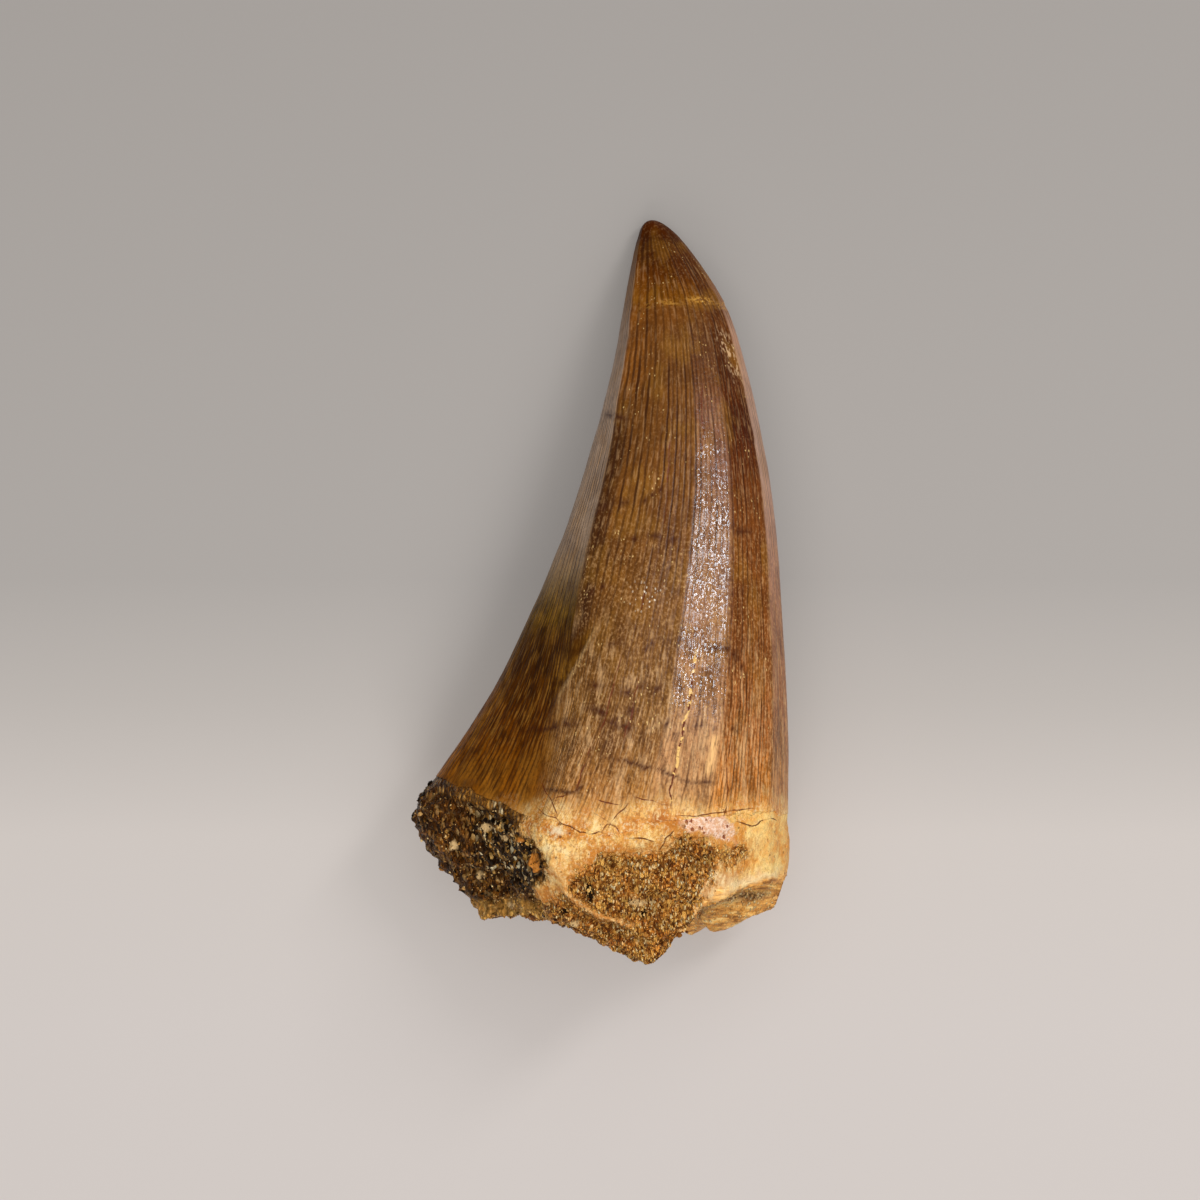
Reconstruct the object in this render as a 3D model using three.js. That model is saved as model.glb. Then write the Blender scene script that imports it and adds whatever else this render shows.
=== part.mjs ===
// A fossil marine reptile tooth: the recurved crown with its two cutting edges, and the broken stub of
// root below it with sandy rock cemented to the break.
// It lies on its tongue side, so the lip side faces up. X runs across the tooth, from the hollow rear
// margin to the bulging front margin, Y runs from the root to the tip, and Z is up.
// The surface is one sheet of rings. Each ring crosses the tooth from its rear margin to its front
// margin and back underneath, and the rings run from the tip, over the crown and the root, and across
// the broken end. All sizes are in millimetres.

import * as THREE from 'three';

// Cross-sections from the tip down. The margins are the ends of the outline seen from above, height is
// how far both margins lie above the ground, rise is from there up to the crest, drop is down to the
// belly, and flank is the share of the width that the rear flank takes.
const STATIONS = [
  { rear: [4.25, 60.1], front: [4.25, 60.1], height: 1.2, rise: 0, drop: 0, flank: 0.07 },
  { rear: [3.1, 58.8], front: [6.4, 58.8], height: 1.2, rise: 1.4, drop: 1.25, flank: 0.07 },
  { rear: [2.05, 53.9], front: [10.0, 53.4], height: 4.0, rise: 3.3, drop: 3.2, flank: 0.08 },
  { rear: [1.1, 48.6], front: [12.0, 47.2], height: 6.1, rise: 4.5, drop: 4.6, flank: 0.09 },
  { rear: [-0.4, 42.4], front: [13.5, 40.2], height: 8.0, rise: 5.7, drop: 6.0, flank: 0.11 },
  { rear: [-2.6, 35.4], front: [14.35, 33.1], height: 9.4, rise: 6.8, drop: 7.3, flank: 0.13 },
  { rear: [-5.4, 28.5], front: [14.8, 26.0], height: 10.3, rise: 7.7, drop: 8.5, flank: 0.18 },
  { rear: [-8.7, 21.7], front: [15.2, 19.3], height: 10.7, rise: 8.5, drop: 9.6, flank: 0.25 },
  { rear: [-12.9, 15.4], front: [15.2, 12.6], height: 10.8, rise: 9.1, drop: 10.6, flank: 0.3 },
  { rear: [-15.2, 12.2], front: [15.2, 10.9], height: 10.6, rise: 9.2, drop: 11.1, flank: 0.3 },
  { rear: [-13.9, 9.1], front: [15.2, 9.5], height: 10.4, rise: 8.9, drop: 11.1, flank: 0.29 },
  { rear: [-11.5, 6.1], front: [15.15, 8.2], height: 10.2, rise: 8.3, drop: 10.8, flank: 0.28 },
  { rear: [-9.7, 3.4], front: [15.1, 6.9], height: 10.0, rise: 7.4, drop: 9.8, flank: 0.27 },
];
const ENAMEL_END = 8; // the station where the enamel ends and the root begins
const ROOT_END = 12; // the station of the broken rim

// The broken rim of the root, seen from above: its lip-side edge and its tongue-side edge, x and y.
const UPPER_RIM = [[-9.7, 3.4], [-4.9, 3.5], [-2.5, 2.9], [0.7, 1.2], [2.3, 0.3], [4.4, 0.1],
  [6.2, 1.9], [8.5, 4.6], [11.3, 5.8], [15.1, 6.9]];
const LOWER_RIM = [[-9.7, 3.4], [-6, 6.2], [0, 5.6], [5, 3.2], [7.9, 2], [9.8, 3.2], [11.3, 4.1],
  [12.6, 3.5], [14.1, 4.1], [15.1, 6.9]];
const BREAK_CENTRE = new THREE.Vector3(2.6, 5.4, 10); // the deepest part of the broken end
const CROWN_SAG = 1.9; // how far a ring at the enamel's end bows towards the root

// Corners of a cross-section, anticlockwise from the front margin: across from -1 to 1, height from -1 at
// the belly to 1 at the crest, and how much of each adjoining side the corner's curve takes.
// The two cutting edges are tight corners, the lip side has flat facets and the tongue side is round.
const REAR_EDGE = 5; // the corner that is the rear cutting edge
const CORNERS = [
  { across: 1.0, height: -0.06, round: 0.42 },
  { across: 0.87, height: 0.45, round: 0.1 },
  { across: 0.54, height: 0.86, round: 0.18 },
  { across: 0.17, height: 1.0, round: 0.3 },
  { across: -0.3, height: 0.99, round: 0.45 },
  { across: -0.8, height: 0.62, round: 0.08 },
  { across: -1.0, height: -0.06, round: 0.42 },
  { across: -0.87, height: -0.58, round: 0.5 },
  { across: -0.48, height: -0.93, round: 0.5 },
  { across: 0.0, height: -1.04, round: 0.5 },
  { across: 0.48, height: -0.93, round: 0.5 },
  { across: 0.88, height: -0.58, round: 0.5 },
];
const EDGE_HEIGHT = [0.52, 0.8]; // height of the rear cutting edge at the tip and at the enamel's end

// Relief of the root, in millimetres.
const FLANK_RECESS = 0.9; // the rear flank has lost its outer bone and shows the rock inside
const FRONT_MARGIN = 0.5; // the turn of the front margin, where the root's wall is clean and smooth
const CLEAN_SHARE = 0.2; // how much of the root's lumps and pits the clean wall has
const LUMP_HEIGHT = 0.75;
const LUMP_SPACING = 3.1;
const PIT_DEPTH = 0.85;
const PIT_SPACING = 1.7;
const BREAK_SLOPE = 1.2; // how much deeper the middle of the break is than its outer part
const BREAK_ROUGHNESS = 1.1;
const ROCK_HEIGHT = 0.7; // lumps of the sandy rock, on the rear flank and in the sandy patch
const ROCK_SPACING = 2.2;
const RIB_HEIGHT = 0.45; // the curved splinter of root wall beside the lower sandy patch
const RIB_PATH = [[-3.6, 8.2], [-2.6, 5.6], [-0.4, 4.1], [2.4, 3.2]];
const HOLLOW_DEPTH = 0.45; // the sandy patch lies lower than the clean root around it
const HOLLOW_CENTRE = [4.3, 6.3];
const HOLLOW_RADII = [5.6, 3.6];

// Mesh density.
const STEPS_PER_CORNER = 6;
const TIP_RINGS = 5;
const CROWN_RINGS_PER_STATION = 4;
const ROOT_RINGS_PER_STATION = 4;
const BREAK_RINGS = 11;

const clamp = (value, low, high) => Math.min(Math.max(value, low), high);
const mix = (a, b, t) => a + (b - a) * t;

function smoothstep(low, high, value) {
  const t = clamp((value - low) / (high - low), 0, 1);
  return t * t * (3 - 2 * t);
}

// A repeatable number from 0 to 1 for each point of a lattice.
function latticeValue(i, j, k) {
  const wave = Math.sin(i * 127.1 + j * 311.7 + k * 74.7) * 43758.5453;
  return wave - Math.floor(wave);
}

// Smooth noise from -1 to 1 with one bump or dip per unit of length.
function noise(x, y, z) {
  const [i, j, k] = [Math.floor(x), Math.floor(y), Math.floor(z)];
  const [fx, fy, fz] = [x - i, y - j, z - k].map((f) => f * f * (3 - 2 * f));
  const alongX = (dj, dk) => mix(latticeValue(i, j + dj, k + dk), latticeValue(i + 1, j + dj, k + dk), fx);
  const alongY = (dk) => mix(alongX(0, dk), alongX(1, dk), fy);
  return 2 * mix(alongY(0), alongY(1), fz) - 1;
}

// The smooth curve through b and c, with a before them and d after them.
function through(a, b, c, d, t) {
  const linear = (c - a) * t;
  const square = (2 * a - 5 * b + 4 * c - d) * t * t;
  const cube = (3 * b - a - 3 * c + d) * t * t * t;
  return 0.5 * (2 * b + linear + square + cube);
}

// The cross-section at any place along the tooth, where whole numbers are the stations.
function stationAt(place) {
  const last = STATIONS.length - 1;
  const index = clamp(Math.floor(place), 0, last - 1);
  const four = [index - 1, index, index + 1, index + 2].map((i) => STATIONS[clamp(i, 0, last)]);
  const value = (read) => through(...four.map(read), place - index);
  return {
    rear: [value((s) => s.rear[0]), value((s) => s.rear[1])],
    front: [value((s) => s.front[0]), value((s) => s.front[1])],
    height: value((s) => s.height),
    rise: value((s) => s.rise),
    drop: value((s) => s.drop),
    flank: value((s) => s.flank),
  };
}

// Near the tip the section grows with the root of the distance, which makes the tip round.
function sectionAt(place) {
  if (place >= 1) return stationAt(place);
  const [tip, first] = STATIONS;
  const growth = Math.sqrt(place);
  const middle = [0, 1].map((i) => mix(tip.rear[i], (first.rear[i] + first.front[i]) / 2, place));
  const margin = (end) => middle.map((m, i) => m + growth * (end[i] - (first.rear[i] + first.front[i]) / 2));
  return {
    rear: margin(first.rear),
    front: margin(first.front),
    height: mix(tip.height, first.height, place),
    rise: first.rise * growth,
    drop: first.drop * growth,
    flank: first.flank,
  };
}

// One point of a cross-section's outline. Corner k holds turn k to k + 1, and its tip is halfway.
function outlinePoint(corners, turn) {
  const count = corners.length;
  const k = Math.floor(turn) % count;
  const part = turn - Math.floor(turn);
  const here = corners[k];
  const before = corners[(k + count - 1) % count];
  const after = corners[(k + 1) % count];
  const towards = (other, share) => [
    mix(here.across, other.across, share),
    mix(here.height, other.height, share),
  ];
  const straight = 0.5 - here.round;
  if (part < straight) return towards(before, 0.5 - part);
  if (part > 1 - straight) return towards(after, part - 0.5);
  const t = (part - straight) / (2 * here.round);
  const start = towards(before, here.round);
  const end = towards(after, here.round);
  const tip = [here.across, here.height];
  return [0, 1].map((i) => (1 - t) * (1 - t) * start[i] + 2 * t * (1 - t) * tip[i] + t * t * end[i]);
}

// The outline of the section at a place, stretched so that it just fills -1 to 1 both ways.
function outlineAt(place, flank) {
  const edgeHeight = mix(...EDGE_HEIGHT, clamp(place / ENAMEL_END, 0, 1));
  const corners = CORNERS.map((c, k) => (
    k === REAR_EDGE ? { ...c, across: -1 + 2 * flank, height: edgeHeight } : c));
  const turns = corners.length * STEPS_PER_CORNER;
  const points = Array.from({ length: turns }, (_, i) => outlinePoint(corners, i / STEPS_PER_CORNER));
  const acrosses = points.map((p) => p[0]);
  const heights = points.map((p) => p[1]);
  const [left, right] = [Math.min(...acrosses), Math.max(...acrosses)];
  const [top, bottom] = [Math.max(...heights), -Math.min(...heights)];
  return points.map(([across, height]) => [
    (2 * (across - left)) / (right - left) - 1,
    height > 0 ? height / top : height / bottom,
  ]);
}

// The height of a broken line of points at x.
function brokenLine(points, x) {
  const next = points.findIndex((p) => p[0] >= x);
  if (next === -1) return points[points.length - 1][1];
  if (next === 0) return points[0][1];
  const [a, b] = [points[next - 1], points[next]];
  return mix(a[1], b[1], (x - a[0]) / (b[0] - a[0]));
}

// How far a ring bows along Y at a point: a plain bow on the crown that turns into the ragged rim.
function bow(place, across, height) {
  const growth = clamp(place / ENAMEL_END, 0, 1);
  const upper = smoothstep(-0.6, 0.6, height);
  const crownBow = -CROWN_SAG * growth * growth * (1 - across * across) * mix(0.4, 1, upper);
  const share = (across + 1) / 2;
  const { rear, front } = STATIONS[ROOT_END];
  const rimX = mix(rear[0], front[0], share);
  const rimY = mix(brokenLine(LOWER_RIM, rimX), brokenLine(UPPER_RIM, rimX), upper);
  const rimBow = rimY - mix(rear[1], front[1], share);
  return mix(crownBow, rimBow, smoothstep(ENAMEL_END, ROOT_END, place));
}

// The least distance from a point to a path of straight pieces, seen from above.
function distanceToPath(path, x, y) {
  let least = Infinity;
  for (let i = 1; i < path.length; i += 1) {
    const [ax, ay] = path[i - 1];
    const [bx, by] = path[i];
    const length2 = (bx - ax) ** 2 + (by - ay) ** 2;
    const t = clamp(((x - ax) * (bx - ax) + (y - ay) * (by - ay)) / length2, 0, 1);
    least = Math.min(least, Math.hypot(x - mix(ax, bx, t), y - mix(ay, by, t)));
  }
  return least;
}

// How far the root's skin stands out from its smooth form at a point.
function rootRelief(place, turn, point) {
  const onRoot = smoothstep(ENAMEL_END + 0.1, ENAMEL_END + 1, place);
  const rearEdge = REAR_EDGE + 0.5;
  const flank = smoothstep(rearEdge, rearEdge + 0.2, turn) * (1 - smoothstep(rearEdge + 0.5, rearEdge + 1, turn));
  const recess = FLANK_RECESS * flank * smoothstep(ENAMEL_END + 0.3, ENAMEL_END + 0.8, place);
  const { x, y, z } = point;
  const turnsAway = Math.abs(turn - FRONT_MARGIN);
  const fromFront = Math.min(turnsAway, CORNERS.length - turnsAway);
  const ragged = mix(CLEAN_SHARE, 1, smoothstep(0.8, 2.5, fromFront));
  const lumps = LUMP_HEIGHT * noise(x / LUMP_SPACING, y / LUMP_SPACING, z / LUMP_SPACING);
  const pitNoise = noise(x / PIT_SPACING + 9, y / PIT_SPACING, z / PIT_SPACING);
  const pits = PIT_DEPTH * Math.max(0, pitNoise - 0.15) * mix(0.5, 1, flank);
  const facingUp = smoothstep(12, 15, z);
  const rib = RIB_HEIGHT * Math.exp(-((distanceToPath(RIB_PATH, x, y) / 0.55) ** 2)) * facingUp;
  const reach = Math.hypot((x - HOLLOW_CENTRE[0]) / HOLLOW_RADII[0], (y - HOLLOW_CENTRE[1]) / HOLLOW_RADII[1]);
  const inHollow = (1 - smoothstep(0.75, 1.05, reach)) * facingUp;
  const rockNoise = noise(x / ROCK_SPACING, y / ROCK_SPACING + 5, z / ROCK_SPACING);
  const rock = ROCK_HEIGHT * rockNoise * Math.max(flank, inHollow);
  return onRoot * (ragged * (lumps - pits) + rock + rib - HOLLOW_DEPTH * inHollow) - recess;
}

// One ring round the tooth, from the front margin over the lip side and back underneath.
function makeRing(place) {
  const section = sectionAt(place);
  const middle = new THREE.Vector3(
    (section.rear[0] + section.front[0]) / 2,
    (section.rear[1] + section.front[1]) / 2,
    section.height,
  );
  return outlineAt(place, section.flank).map(([across, height], i) => {
    const share = (across + 1) / 2;
    const x = mix(section.rear[0], section.front[0], share);
    const y = mix(section.rear[1], section.front[1], share) + bow(place, across, height);
    const z = section.height + height * (height > 0 ? section.rise : section.drop);
    const point = new THREE.Vector3(x, y, z);
    const outward = point.clone().sub(middle).setY(0).normalize();
    return point.addScaledVector(outward, rootRelief(place, i / STEPS_PER_CORNER, point));
  });
}

// The rings of the broken end, which close in from the rim to the middle of the break.
function makeBreakRings(rim) {
  return Array.from({ length: BREAK_RINGS }, (_, i) => {
    const inward = (i + 1) / (BREAK_RINGS + 1);
    return rim.map((edge) => {
      const point = edge.clone().lerp(BREAK_CENTRE, inward);
      const floorY = BREAK_CENTRE.y - BREAK_SLOPE * (1 - inward);
      point.y = mix(edge.y, floorY, smoothstep(0.08, 0.85, inward));
      const rough = noise(point.x / 3, 4, point.z / 3) + 0.5 * noise(point.x / 1.5, 9, point.z / 1.5);
      point.y += BREAK_ROUGHNESS * rough * smoothstep(0, 0.25, inward);
      return point;
    });
  });
}

function ringPlaces() {
  const tip = Array.from({ length: TIP_RINGS }, (_, i) => ((i + 1) / TIP_RINGS) ** 2);
  const evenly = (from, to, perStation) => Array.from(
    { length: (to - from) * perStation },
    (_, i) => from + (i + 1) / perStation,
  );
  return [
    ...tip,
    ...evenly(1, ENAMEL_END, CROWN_RINGS_PER_STATION),
    ...evenly(ENAMEL_END, ROOT_END, ROOT_RINGS_PER_STATION),
  ];
}

// The tip point, every ring and the middle of the break, joined into one closed surface.
function makeToothGeometry() {
  const walls = ringPlaces().map(makeRing);
  const rings = [...walls, ...makeBreakRings(walls[walls.length - 1])];
  const tip = new THREE.Vector3(...STATIONS[0].rear, STATIONS[0].height);
  const points = [tip, ...rings.flat(), BREAK_CENTRE.clone()];
  points.forEach((p) => { p.z = Math.max(p.z, 0); }); // the worn spots that it rests on are flat
  const around = rings[0].length;
  const last = points.length - 1;
  const at = (ring, step) => 1 + ring * around + (step % around);
  const faces = [];
  for (let step = 0; step < around; step += 1) {
    faces.push(0, at(0, step + 1), at(0, step));
    for (let ring = 1; ring < rings.length; ring += 1) {
      faces.push(at(ring - 1, step), at(ring, step + 1), at(ring, step));
      faces.push(at(ring - 1, step), at(ring - 1, step + 1), at(ring, step + 1));
    }
    faces.push(at(rings.length - 1, step), at(rings.length - 1, step + 1), last);
  }
  const geometry = new THREE.BufferGeometry().setFromPoints(points);
  geometry.setIndex(faces);
  geometry.computeVertexNormals();
  return geometry;
}

const fossil = new THREE.Group();
const tooth = new THREE.Mesh(
  makeToothGeometry(),
  new THREE.MeshStandardMaterial({ color: 0x8a5a30, roughness: 0.4, metalness: 0 }),
);
tooth.name = 'tooth';
tooth.geometry.computeBoundingBox();
const centre = tooth.geometry.boundingBox.getCenter(new THREE.Vector3());
tooth.position.set(-centre.x, -centre.y, 0);
fossil.add(tooth);

export default fossil;
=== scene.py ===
import math
from functools import reduce

import bpy
import numpy as np
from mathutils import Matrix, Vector


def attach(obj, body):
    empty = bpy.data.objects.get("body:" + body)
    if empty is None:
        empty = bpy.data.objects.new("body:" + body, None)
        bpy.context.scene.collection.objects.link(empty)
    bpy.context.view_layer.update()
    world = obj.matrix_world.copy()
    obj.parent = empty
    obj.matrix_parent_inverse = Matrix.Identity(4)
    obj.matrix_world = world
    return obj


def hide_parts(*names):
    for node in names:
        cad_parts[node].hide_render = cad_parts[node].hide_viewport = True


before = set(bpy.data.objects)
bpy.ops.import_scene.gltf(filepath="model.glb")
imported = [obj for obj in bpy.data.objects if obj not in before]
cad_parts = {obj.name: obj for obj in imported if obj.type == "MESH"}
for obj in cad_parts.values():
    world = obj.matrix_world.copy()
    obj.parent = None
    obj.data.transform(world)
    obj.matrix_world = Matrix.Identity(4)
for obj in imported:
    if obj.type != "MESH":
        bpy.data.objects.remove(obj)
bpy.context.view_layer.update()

# A fossil marine reptile tooth that lies on its tongue side, seen from above its lip side.
# Lengths are in millimetres on the tooth's own plan, and meshes are moved to the frame at the end.
# On the plan X runs from the hollow rear margin to the bulging front margin, Y from the root to the
# tip, and Z is up. A place counts the cross-sections from the tip down, and a turn runs round one
# section from the front margin, over the lip side, and back underneath.

MM = 0.001
TIP = (4.25, 60.1)
PHOTO_MIDDLE = (0.0, 29.16)  # the plan's point at the middle of the picture
PICTURE_WIDTH = 96.8
SILHOUETTE_HEIGHT = 9.0
LENS = 300
SENSOR_WIDTH = 36
BODY = "root"
NODE = "tooth"

# Cross-sections from the tip down: rear margin x and y, front margin x and y, height of the margins,
# rise to the crest, drop to the belly, and share of the width that the rear flank takes.
STATIONS = np.array([
    [4.25, 60.1, 4.25, 60.1, 1.2, 0.0, 0.0, 0.07],
    [3.1, 58.8, 6.4, 58.8, 1.2, 1.4, 1.25, 0.07],
    [2.05, 53.9, 10.0, 53.4, 4.0, 3.3, 3.2, 0.08],
    [1.1, 48.6, 12.0, 47.2, 6.1, 4.5, 4.6, 0.09],
    [-0.4, 42.4, 13.5, 40.2, 8.0, 5.7, 6.0, 0.11],
    [-2.6, 35.4, 14.35, 33.1, 9.4, 6.8, 7.3, 0.13],
    [-5.4, 28.5, 14.8, 26.0, 10.3, 7.7, 8.5, 0.18],
    [-8.7, 21.7, 15.2, 19.3, 10.7, 8.5, 9.6, 0.25],
    [-12.9, 15.4, 15.2, 12.6, 10.8, 9.1, 10.6, 0.3],
    [-15.2, 12.2, 15.2, 10.9, 10.6, 9.2, 11.1, 0.3],
    [-13.9, 9.1, 15.2, 9.5, 10.4, 8.9, 11.1, 0.29],
    [-11.5, 6.1, 15.15, 8.2, 10.2, 8.3, 10.8, 0.28],
    [-9.7, 3.4, 15.1, 6.9, 10.0, 7.4, 9.8, 0.27],
])
REAR_X, REAR_Y, FRONT_X, FRONT_Y, HEIGHT, RISE, DROP, FLANK = range(8)
ENAMEL_END = 8
ROOT_END = 12

UPPER_RIM = np.array([[-9.7, 3.4], [-4.9, 3.5], [-2.5, 2.9], [0.7, 1.2], [2.3, 0.3], [4.4, 0.1],
                      [6.2, 1.9], [8.5, 4.6], [11.3, 5.8], [15.1, 6.9]])
LOWER_RIM = np.array([[-9.7, 3.4], [-6, 6.2], [0, 5.6], [5, 3.2], [7.9, 2], [9.8, 3.2], [11.3, 4.1],
                      [12.6, 3.5], [14.1, 4.1], [15.1, 6.9]])
BREAK_CENTRE = np.array([2.6, 5.4, 10.0])
BREAK_SLOPE = 1.2
BREAK_ROUGHNESS = 1.1
CROWN_SAG = 1.9

# Corners of a cross-section: across, height, and how much of each adjoining side the curve takes.
CORNERS = np.array([
    [1.0, -0.06, 0.42], [0.87, 0.45, 0.1], [0.54, 0.86, 0.18], [0.17, 1.0, 0.12],
    [-0.3, 0.99, 0.45], [-0.8, 0.62, 0.08], [-1.0, -0.06, 0.42], [-0.87, -0.58, 0.5],
    [-0.48, -0.93, 0.5], [0.0, -1.04, 0.5], [0.48, -0.93, 0.5], [0.88, -0.58, 0.5],
])
REAR_EDGE = 5
REAR_EDGE_TURN = REAR_EDGE + 0.5
FRONT_EDGE_TURN = 1.5
FRONT_MARGIN_TURN = 0.5
EDGE_HEIGHT = (0.52, 0.8)

# Relief of the root, as in the frame.
FLANK_RECESS = 0.9
CLEAN_SHARE = 0.2
LUMP_HEIGHT, LUMP_SPACING = 0.75, 3.1
PIT_DEPTH, PIT_SPACING = 0.85, 1.7
ROCK_HEIGHT, ROCK_SPACING = 0.7, 2.2
RIB_HEIGHT, RIB_WIDTH = 0.45, 0.55
RIB_PATH = [(-3.6, 8.2), (-2.6, 5.6), (-0.4, 4.1), (2.4, 3.2)]
HOLLOW_DEPTH = 0.45
HOLLOW_CENTRE = (4.3, 6.3)
HOLLOW_RADII = (5.6, 3.6)

# The lower edge of the enamel on the plan, and how far the dentine lies below the enamel.
ENAMEL_LINE = np.array([[-15.2, 15.6], [-13.0, 15.1], [-10.3, 13.9], [-7.7, 12.9], [-4.9, 11.6],
                        [-1.8, 11.2], [0.4, 10.5], [3.0, 11.1], [5.6, 11.5], [6.2, 11.8],
                        [10.0, 12.2], [12.0, 12.4], [15.2, 12.0]])
ENAMEL_THICKNESS = 0.08
LIP_DEPTHS = (0.06, 0.4)  # where the enamel's lower edge turns in, below its surface
INSIDE = np.array([1.5, 15.0, 10.0])
ROOT_OVERLAP = 0.55  # how far the root reaches under the enamel, counted in cross-sections
HIDDEN_DEPTH = 0.4  # how far its covered top lies below the form
SWELL = (0.07, 0.03)  # height of the broad and the small swells of the enamel
NICK_DEPTH = 0.1
EDGE_CHIP = 0.12
STRAY_GRAINS = 0.15  # share of the sand's grains that lie on the bone beside it

# Fine dark lines along the enamel, counted round its widest part. Half of them end where the crown
# is about 56 mm round, and half of the rest where it is about 29 mm round.
LINES = 192

# Mesh density.
CROWN_STEPS = 700
ROOT_STEPS = 640
TIP_RINGS = 14
CROWN_RINGS = 84
BASE_RINGS = 36
ROOT_RINGS = 92
BREAK_RINGS = 58


def clamp(value, low=0.0, high=1.0):
    return np.clip(value, low, high)


def mix(a, b, t):
    return a + (b - a) * t


def smoothstep(low, high, value):
    t = clamp((value - low) / (high - low))
    return t * t * (3 - 2 * t)


# Noise from -1 to 1 with one bump or dip per unit of length, the same as in the frame.
def lattice(i, j, k):
    wave = np.sin(i * 127.1 + j * 311.7 + k * 74.7) * 43758.5453
    return wave - np.floor(wave)


def noise(x, y, z):
    x, y, z = np.broadcast_arrays(x, y, z)
    i, j, k = np.floor(x), np.floor(y), np.floor(z)
    fx, fy, fz = (f * f * (3 - 2 * f) for f in (x - i, y - j, z - k))

    def along_x(dj, dk):
        return mix(lattice(i, j + dj, k + dk), lattice(i + 1, j + dj, k + dk), fx)

    def along_y(dk):
        return mix(along_x(0, dk), along_x(1, dk), fy)

    return 2 * mix(along_y(0), along_y(1), fz) - 1


def noise_at(points, spacing, shift=0.0):
    x, y, z = (points[..., axis] / spacing + shift for axis in range(3))
    return noise(x, y, z)


# The smooth form of the tooth.
def station_at(place):
    last = len(STATIONS) - 1
    index = np.clip(np.floor(place).astype(int), 0, last - 1)
    t = (place - index)[..., None]
    a, b, c, d = (STATIONS[np.clip(index + step, 0, last)] for step in (-1, 0, 1, 2))
    square = (2 * a - 5 * b + 4 * c - d) * t * t
    cube = (3 * b - a - 3 * c + d) * t * t * t
    return 0.5 * (2 * b + (c - a) * t + square + cube)


# Near the tip the section grows with the root of the distance, which makes the tip round.
def section_at(place):
    section = station_at(place)
    tip, first = STATIONS[0], STATIONS[1]
    growth = np.sqrt(clamp(place))
    near = mix(tip, first, clamp(place)[..., None])
    for rear, front in ((REAR_X, FRONT_X), (REAR_Y, FRONT_Y)):
        half = (first[front] - first[rear]) / 2
        middle = mix(tip[rear], (first[front] + first[rear]) / 2, clamp(place))
        near[..., rear] = middle - growth * half
        near[..., front] = middle + growth * half
    near[..., RISE] = first[RISE] * growth
    near[..., DROP] = first[DROP] * growth
    return np.where((place >= 1)[..., None], section, near)


def raw_outline(place, turn):
    flank = section_at(place)[..., FLANK]
    edge_height = mix(*EDGE_HEIGHT, clamp(place / ENAMEL_END))
    count = len(CORNERS)
    k = np.floor(turn).astype(int) % count
    part = turn - np.floor(turn)

    def corner(index):
        index = index % count
        at_edge = index == REAR_EDGE
        across = np.where(at_edge, -1 + 2 * flank, CORNERS[index, 0])
        height = np.where(at_edge, edge_height, CORNERS[index, 1])
        return np.stack([across, height], -1)

    here, before, after = corner(k), corner(k - 1), corner(k + 1)
    curve = CORNERS[k, 2]
    straight = 0.5 - curve

    def towards(other, share):
        return mix(here, other, share[..., None])

    t = clamp((part - straight) / (2 * curve))[..., None]
    bend = (1 - t) ** 2 * towards(before, curve) + 2 * t * (1 - t) * here + t * t * towards(after, curve)
    point = np.where((part < straight)[..., None], towards(before, 0.5 - part), bend)
    return np.where((part > 1 - straight)[..., None], towards(after, part - 0.5), point)


EXTENT_PLACES = np.linspace(0, ROOT_END, 121)
EXTENT_TURNS = np.arange(0, len(CORNERS), 1 / 6)
EXTENT_OUTLINES = raw_outline(*np.meshgrid(EXTENT_PLACES, EXTENT_TURNS, indexing="ij"))
EXTENTS = {
    "left": EXTENT_OUTLINES[..., 0].min(1),
    "right": EXTENT_OUTLINES[..., 0].max(1),
    "top": EXTENT_OUTLINES[..., 1].max(1),
    "bottom": -EXTENT_OUTLINES[..., 1].min(1),
}


def outline(place, turn):
    left, right, top, bottom = (
        np.interp(place, EXTENT_PLACES, EXTENTS[side]) for side in ("left", "right", "top", "bottom"))
    raw = raw_outline(place, turn)
    across = 2 * (raw[..., 0] - left) / (right - left) - 1
    height = raw[..., 1] / np.where(raw[..., 1] > 0, top, bottom)
    return across, height


def bow(place, across, height):
    growth = clamp(place / ENAMEL_END)
    upper = smoothstep(-0.6, 0.6, height)
    crown_bow = -CROWN_SAG * growth * growth * (1 - across * across) * mix(0.4, 1, upper)
    share = (across + 1) / 2
    last = STATIONS[ROOT_END]
    rim_x = mix(last[REAR_X], last[FRONT_X], share)
    rim_y = mix(np.interp(rim_x, *LOWER_RIM.T), np.interp(rim_x, *UPPER_RIM.T), upper)
    rim_bow = rim_y - mix(last[REAR_Y], last[FRONT_Y], share)
    return mix(crown_bow, rim_bow, smoothstep(ENAMEL_END, ROOT_END, place))


# Points of the smooth form, and the direction that points straight out of each cross-section.
def form(place, turn):
    section = section_at(place)
    across, height = outline(place, turn)
    share = (across + 1) / 2
    x = mix(section[..., REAR_X], section[..., FRONT_X], share)
    y = mix(section[..., REAR_Y], section[..., FRONT_Y], share) + bow(place, across, height)
    z = section[..., HEIGHT] + height * np.where(height > 0, section[..., RISE], section[..., DROP])
    middle_x = (section[..., REAR_X] + section[..., FRONT_X]) / 2
    away = np.stack([x - middle_x, 0 * x, z - section[..., HEIGHT]], -1)
    outward = away / np.maximum(np.linalg.norm(away, axis=-1, keepdims=True), 1e-9)
    return np.stack([x, y, z], -1), outward


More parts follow.
